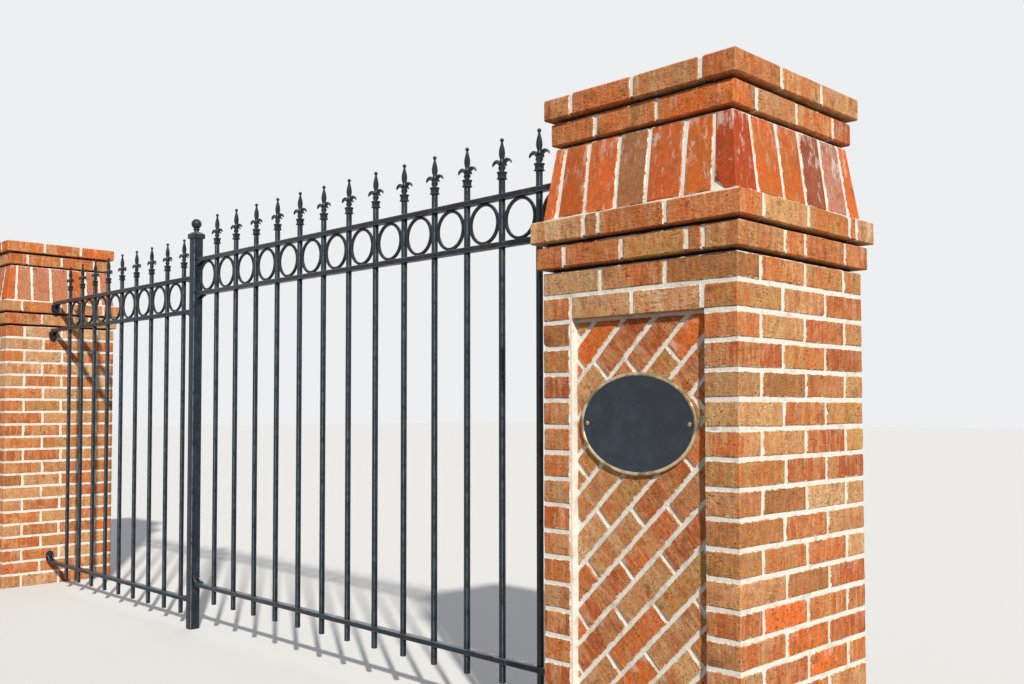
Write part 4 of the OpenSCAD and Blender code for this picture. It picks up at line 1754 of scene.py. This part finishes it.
@dataclass
class FencePost:
    """Square tube post with a cap plate and a ball on a ringed neck.

    The cap rise is the height of the pyramid on the plate. The ring round the neck is as wide as the
    pyramid's flat top, and the ball's size is its diameter.
    """

    iron: bpy.types.Material
    casting: bpy.types.Material
    corner_round: float = 0.0045
    cap_rise: float = 0.010
    cap_round: float = 0.0018
    neck_height: float = 0.007
    ring_height: float = 0.009
    ring: float = 0.0295
    ball: float = 0.045
    ball_rows: int = 15

    def build_tube(self) -> None:
        """Builds the post, with a tube's rounded corners."""
        low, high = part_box("post")
        shape = bmesh.new()
        points = slab(shape, low, high)
        upright = [e for e in edges_of(points) if abs(e.verts[0].co.z - e.verts[1].co.z) > 0.1]
        soften(shape, upright, self.corner_round, 4)
        finish_piece("post_tube", shape, self.iron, ["post"])

    def build_cap(self) -> None:
        """Builds the cap: a square edge under a shallow pyramid."""
        low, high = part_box("post_cap")
        centre = (low + high) / 2
        half = (high.x - low.x) / 2 * math.sqrt(2)
        crown = self.ring / 2 * math.sqrt(2)
        shape = bmesh.new()
        points = drawn_out(shape, 4, [station(centre.x, centre.y, low.z, half),
                                      station(centre.x, centre.y, high.z - self.cap_rise, half),
                                      station(centre.x, centre.y, high.z, crown)], math.pi / 4)
        soften(shape, edges_of(points), self.cap_round, 3)
        finish_piece("post_cap_plate", shape, self.iron, ["post_cap"])

    def build_ball(self) -> None:
        """Builds the neck, its ring and the ball."""
        low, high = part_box("post_ball")
        centre = Vector(((low.x + high.x) / 2, (low.y + high.y) / 2, 0))
        radius = self.ball / 2
        middle = high.z - radius
        ring_foot = low.z + self.neck_height
        profile = [(0.0, low.z), (self.ring * 0.36, low.z), (self.ring * 0.34, ring_foot)]
        for degrees in (-60, -30, 0, 30, 60):
            turn = math.radians(degrees)
            profile.append((self.ring / 2 - self.ring_height * 0.5 * (1 - math.cos(turn)),
                            ring_foot + self.ring_height * (0.5 + 0.5 * math.sin(turn))))
        start = math.asin(max(-1.0, (ring_foot + self.ring_height * 0.98 - middle) / radius))
        for row in range(self.ball_rows):
            turn = start + (math.pi / 2 - start) * row / (self.ball_rows - 1)
            profile.append((max(0.0, radius * math.cos(turn)), middle + radius * math.sin(turn)))
        profile[-1] = (0.0, high.z)
        shape = bmesh.new()
        spun(shape, profile, 36, centre)
        finish_piece("post_ball_cast", shape, self.casting, ["post_ball"], 50.0)

    def build(self) -> None:
        """Builds the post and its head."""
        self.build_tube()
        self.build_cap()
        self.build_ball()


def paint_brackets(iron: bpy.types.Material) -> None:
    """Gives the CAD's own brackets the iron's paint.

    Args:
        iron: the paint.
    """
    for name in ("left_pier_brackets", "post_left_brackets", "post_right_brackets", "right_pier_brackets"):
        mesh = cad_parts[name].data
        for index in range(max(1, len(mesh.materials))):
            if len(mesh.materials) <= index:
                mesh.materials.append(iron)
            else:
                mesh.materials[index] = iron
        LOG.info("%s: painted", name)


# Studio

@dataclass(frozen=True)
class Sun:
    """A lamp far away: where it stands, how strong it is, how many degrees it spreads, its colour."""

    name: str
    towards: Vector
    strength: float
    spread: float
    colour: tuple[float, float, float]

    def add(self) -> None:
        """Hangs the lamp."""
        data = bpy.data.lights.new(self.name, "SUN")
        data.energy = self.strength
        data.angle = math.radians(self.spread)
        data.color = self.colour
        lamp = bpy.data.objects.new(self.name, data)
        lamp.rotation_mode = "QUATERNION"
        lamp.rotation_quaternion = self.towards.to_track_quat("Z", "Y")
        bpy.context.scene.collection.objects.link(lamp)


@dataclass
class Studio:
    """Floor, light and camera.

    The focal length and the picture's centre are in pixels of an image of the given size.
    """

    camera_place: Vector = Vector((3.8435, -2.2928, 0.9763))
    yaw: float = math.radians(45.493)
    pitch: float = math.radians(2.073)
    roll: float = math.radians(-0.040)
    focal: float = 1025.2
    centre: tuple[float, float] = (497.15, 369.92)
    image: tuple[int, int] = (1024, 684)
    sensor: float = 36.0
    floor_reach: float = 45.0
    sky: Colour = paint(232, 240, 255)
    sky_strength: float = 0.33
    backdrop: Colour = paint(238, 239, 240)
    key: Sun = Sun("key", Vector((0.70, -0.445, 0.56)), 4.6, 2.0, (1.0, 0.97, 0.92))
    fill: Sun = Sun("fill", Vector((-0.45, 0.65, 0.55)), 0.9, 60.0, (0.93, 0.96, 1.0))

    def add_camera(self) -> None:
        """Puts the camera where the photograph was taken."""
        level = math.cos(self.pitch)
        ahead = Vector((-math.sin(self.yaw) * level, math.cos(self.yaw) * level, math.sin(self.pitch)))
        right = Vector((math.cos(self.yaw), math.sin(self.yaw), 0))
        up = right.cross(ahead)
        turned = right * math.cos(self.roll) + up * math.sin(self.roll)
        upright = up * math.cos(self.roll) - right * math.sin(self.roll)
        data = bpy.data.cameras.new("camera")
        data.sensor_width = self.sensor
        data.lens = self.sensor * self.focal / self.image[0]
        data.shift_x = (self.image[0] / 2 - self.centre[0]) / self.image[0]
        data.shift_y = (self.centre[1] - self.image[1] / 2) / self.image[0]
        data.clip_start = 0.05
        data.clip_end = 200.0
        camera = bpy.data.objects.new("camera", data)
        basis = Matrix((turned, upright, -ahead)).transposed().to_4x4()
        camera.matrix_world = Matrix.Translation(self.camera_place) @ basis
        bpy.context.scene.collection.objects.link(camera)
        bpy.context.scene.camera = camera

    def add_world(self) -> None:
        """Makes soft light all round, and a pale background."""
        world = bpy.data.worlds.new("studio")
        world.use_nodes = True
        tree = world.node_tree
        tree.nodes.clear()
        out = tree.nodes.new("ShaderNodeOutputWorld")
        soft = tree.nodes.new("ShaderNodeBackground")
        soft.inputs["Color"].default_value = self.sky
        soft.inputs["Strength"].default_value = self.sky_strength
        pale = tree.nodes.new("ShaderNodeBackground")
        pale.inputs["Color"].default_value = self.backdrop
        pale.inputs["Strength"].default_value = 1.0
        path = tree.nodes.new("ShaderNodeLightPath")
        seen = tree.nodes.new("ShaderNodeMath")
        seen.operation = "MAXIMUM"
        also = tree.nodes.new("ShaderNodeMath")
        also.operation = "MAXIMUM"
        tree.links.new(path.outputs["Is Glossy Ray"], also.inputs[0])
        tree.links.new(path.outputs["Is Transmission Ray"], also.inputs[1])
        tree.links.new(path.outputs["Is Camera Ray"], seen.inputs[0])
        tree.links.new(also.outputs[0], seen.inputs[1])
        mixed = tree.nodes.new("ShaderNodeMixShader")
        tree.links.new(seen.outputs[0], mixed.inputs[0])
        tree.links.new(soft.outputs[0], mixed.inputs[1])
        tree.links.new(pale.outputs[0], mixed.inputs[2])
        tree.links.new(mixed.outputs[0], out.inputs[0])
        bpy.context.scene.world = world

    def add_floor(self) -> None:
        """Lays the floor, level with the foot of the piers."""
        shape = bmesh.new()
        bmesh.ops.create_grid(shape, x_segments=1, y_segments=1, size=self.floor_reach)
        mesh = bpy.data.meshes.new("floor")
        shape.to_mesh(mesh)
        shape.free()
        mesh.materials.append(PaleFloor().make())
        floor = bpy.data.objects.new("floor", mesh)
        bpy.context.scene.collection.objects.link(floor)

    def build(self) -> None:
        """Sets the studio up."""
        self.add_floor()
        self.add_world()
        self.key.add()
        self.fill.add()
        self.add_camera()
        bpy.context.scene.view_settings.view_transform = "Standard"


# The two piers' own bricks

NEAR_CORNERS = {(-1, -1): CornerSoldier(0.042, 0.088, Clay.SCARLET),
                (1, -1): CornerSoldier(0.060, 0.088, Clay.DEEP_RED, slanted=True),
                (-1, 1): CornerSoldier(0.092, 0.060, Clay.BRIGHT),
                (1, 1): CornerSoldier(0.092, 0.060, Clay.SCARLET)}
FAR_CORNERS = {(-1, -1): CornerSoldier(0.092, 0.058, Clay.ROSE),
               (1, -1): CornerSoldier(0.092, 0.042, Clay.BRIGHT),
               (-1, 1): CornerSoldier(0.092, 0.058, Clay.DULL_RED),
               (1, 1): CornerSoldier(0.092, 0.074, Clay.ROSE)}


def near_pier(wall: bpy.types.Material, soldier: bpy.types.Material, mortar: bpy.types.Material) -> Pier:
    """Plans the right pier, with joints where the photograph has them.

    Args:
        wall: the finish of the bricks that lie flat.
        soldier: the finish of the bricks on end.
        mortar: the finish of the mortar.

    Returns:
        The pier, ready to build.
    """
    return Pier(
        Side.RIGHT, wall, soldier, mortar, 11,
        band_lower=FaceRuns(street=(182, 188, 45), right=(196, 91, 194, 124), back=(1, 1), left=(1, 1, 1)),
        band_upper=FaceRuns(street=(190, 48, 202, 210), right=(202, 208, 37), back=(1, 1, 1),
                            left=(202, 37, 208)),
        cap_lower=FaceRuns(street=(156, 191, 221), right=(1, 1), back=(1, 1, 1), left=(1, 1)),
        cap_upper=FaceRuns(street=(203, 205), right=(205, 192, 200), back=(1, 1), left=(1, 1, 1)),
        soldier_corners=NEAR_CORNERS,
        soldier_runs=FaceRuns(street=(94.5, 100.5, 93.4, 107.6, 87), right=(116, 103, 105, 107),
                              back=(1, 1, 1, 1), left=(1, 1, 1, 1)),
        soldier_clays={Face.STREET: (Clay.BRIGHT, Clay.SCARLET, Clay.GREY_BROWN, Clay.SCARLET, Clay.BRIGHT),
                       Face.RIGHT: (Clay.BRIGHT, Clay.BRIGHT, Clay.DULL_RED, Clay.PINK_GREY)},
        diagonal_phases=(0.102, 0.139, 0.008, 0.116, 0.014, 0.082, 0.166, 0.049, 0.157, 0.055, 0.155, 0.062,
                         0.158, 0.056, 0.157, 0.054, 0.150))


def far_pier(wall: bpy.types.Material, soldier: bpy.types.Material, mortar: bpy.types.Material) -> Pier:
    """Plans the left pier.

    Args:
        wall: the finish of the bricks that lie flat.
        soldier: the finish of the bricks on end.
        mortar: the finish of the mortar.

    Returns:
        The pier, ready to build.
    """
    return Pier(
        Side.LEFT, wall, soldier, mortar, 47,
        band_lower=FaceRuns(street=(45, 188, 182), right=(194, 196, 60, 160), back=(1, 1), left=(1, 1, 1)),
        band_upper=FaceRuns(street=(205, 200, 45, 190), right=(205, 40, 200), back=(1, 1, 1),
                            left=(202, 37, 208)),
        cap_lower=FaceRuns(street=(190, 191, 187), right=(1, 1), back=(1, 1, 1), left=(1, 1)),
        cap_upper=FaceRuns(street=(203, 205), right=(1, 1, 1), back=(1, 1), left=(1, 1, 1)),
        soldier_corners=FAR_CORNERS,
        soldier_runs=FaceRuns(street=(1, 1, 1, 1), right=(88, 101, 100, 96, 82), back=(1, 1, 1, 1),
                              left=(1, 1, 1, 1, 1)),
        soldier_clays={Face.STREET: (Clay.BRIGHT, Clay.ROSE, Clay.SCARLET, Clay.ROSE),
                       Face.RIGHT: (Clay.ROSE, Clay.ROSE, Clay.ROSE, Clay.BRIGHT, Clay.ROSE)},
        diagonal_phases=(0.020, 0.120, 0.060, 0.170, 0.105))


def main() -> None:
    """Builds every sub-assembly in order and sets up the studio."""
    logging.basicConfig(level=logging.INFO, format="%(name)s: %(message)s")
    noise.seed_set(NOISE_SEED)
    wall = BrickFinish("sand_faced_brick").make()
    soldier = BrickFinish("smooth_soldier_brick", on_end=True, dragged=0.35, pitted=0.45, depth=0.0018,
                          rise=0.09).make()
    mortar = MortarFinish().make()
    iron = IronPaint().make()
    casting = IronPaint("black_casting_paint", paint(17, 21, 25), chalked=0.30, arris_wear_and_highlight=0.12,
                        dusted=0.10).make()
    near_pier(wall, soldier, mortar).build()
    far_pier(wall, soldier, mortar).build()
    Plaque(SlateField().make(), AgedBronze().make()).build()
    FencePanel(Side.LEFT, iron, casting).build()
    FencePanel(Side.RIGHT, iron, casting).build()
    FencePost(iron, casting).build()
    paint_brackets(iron)
    Studio().build()


if __name__ == "__main__":
    main()
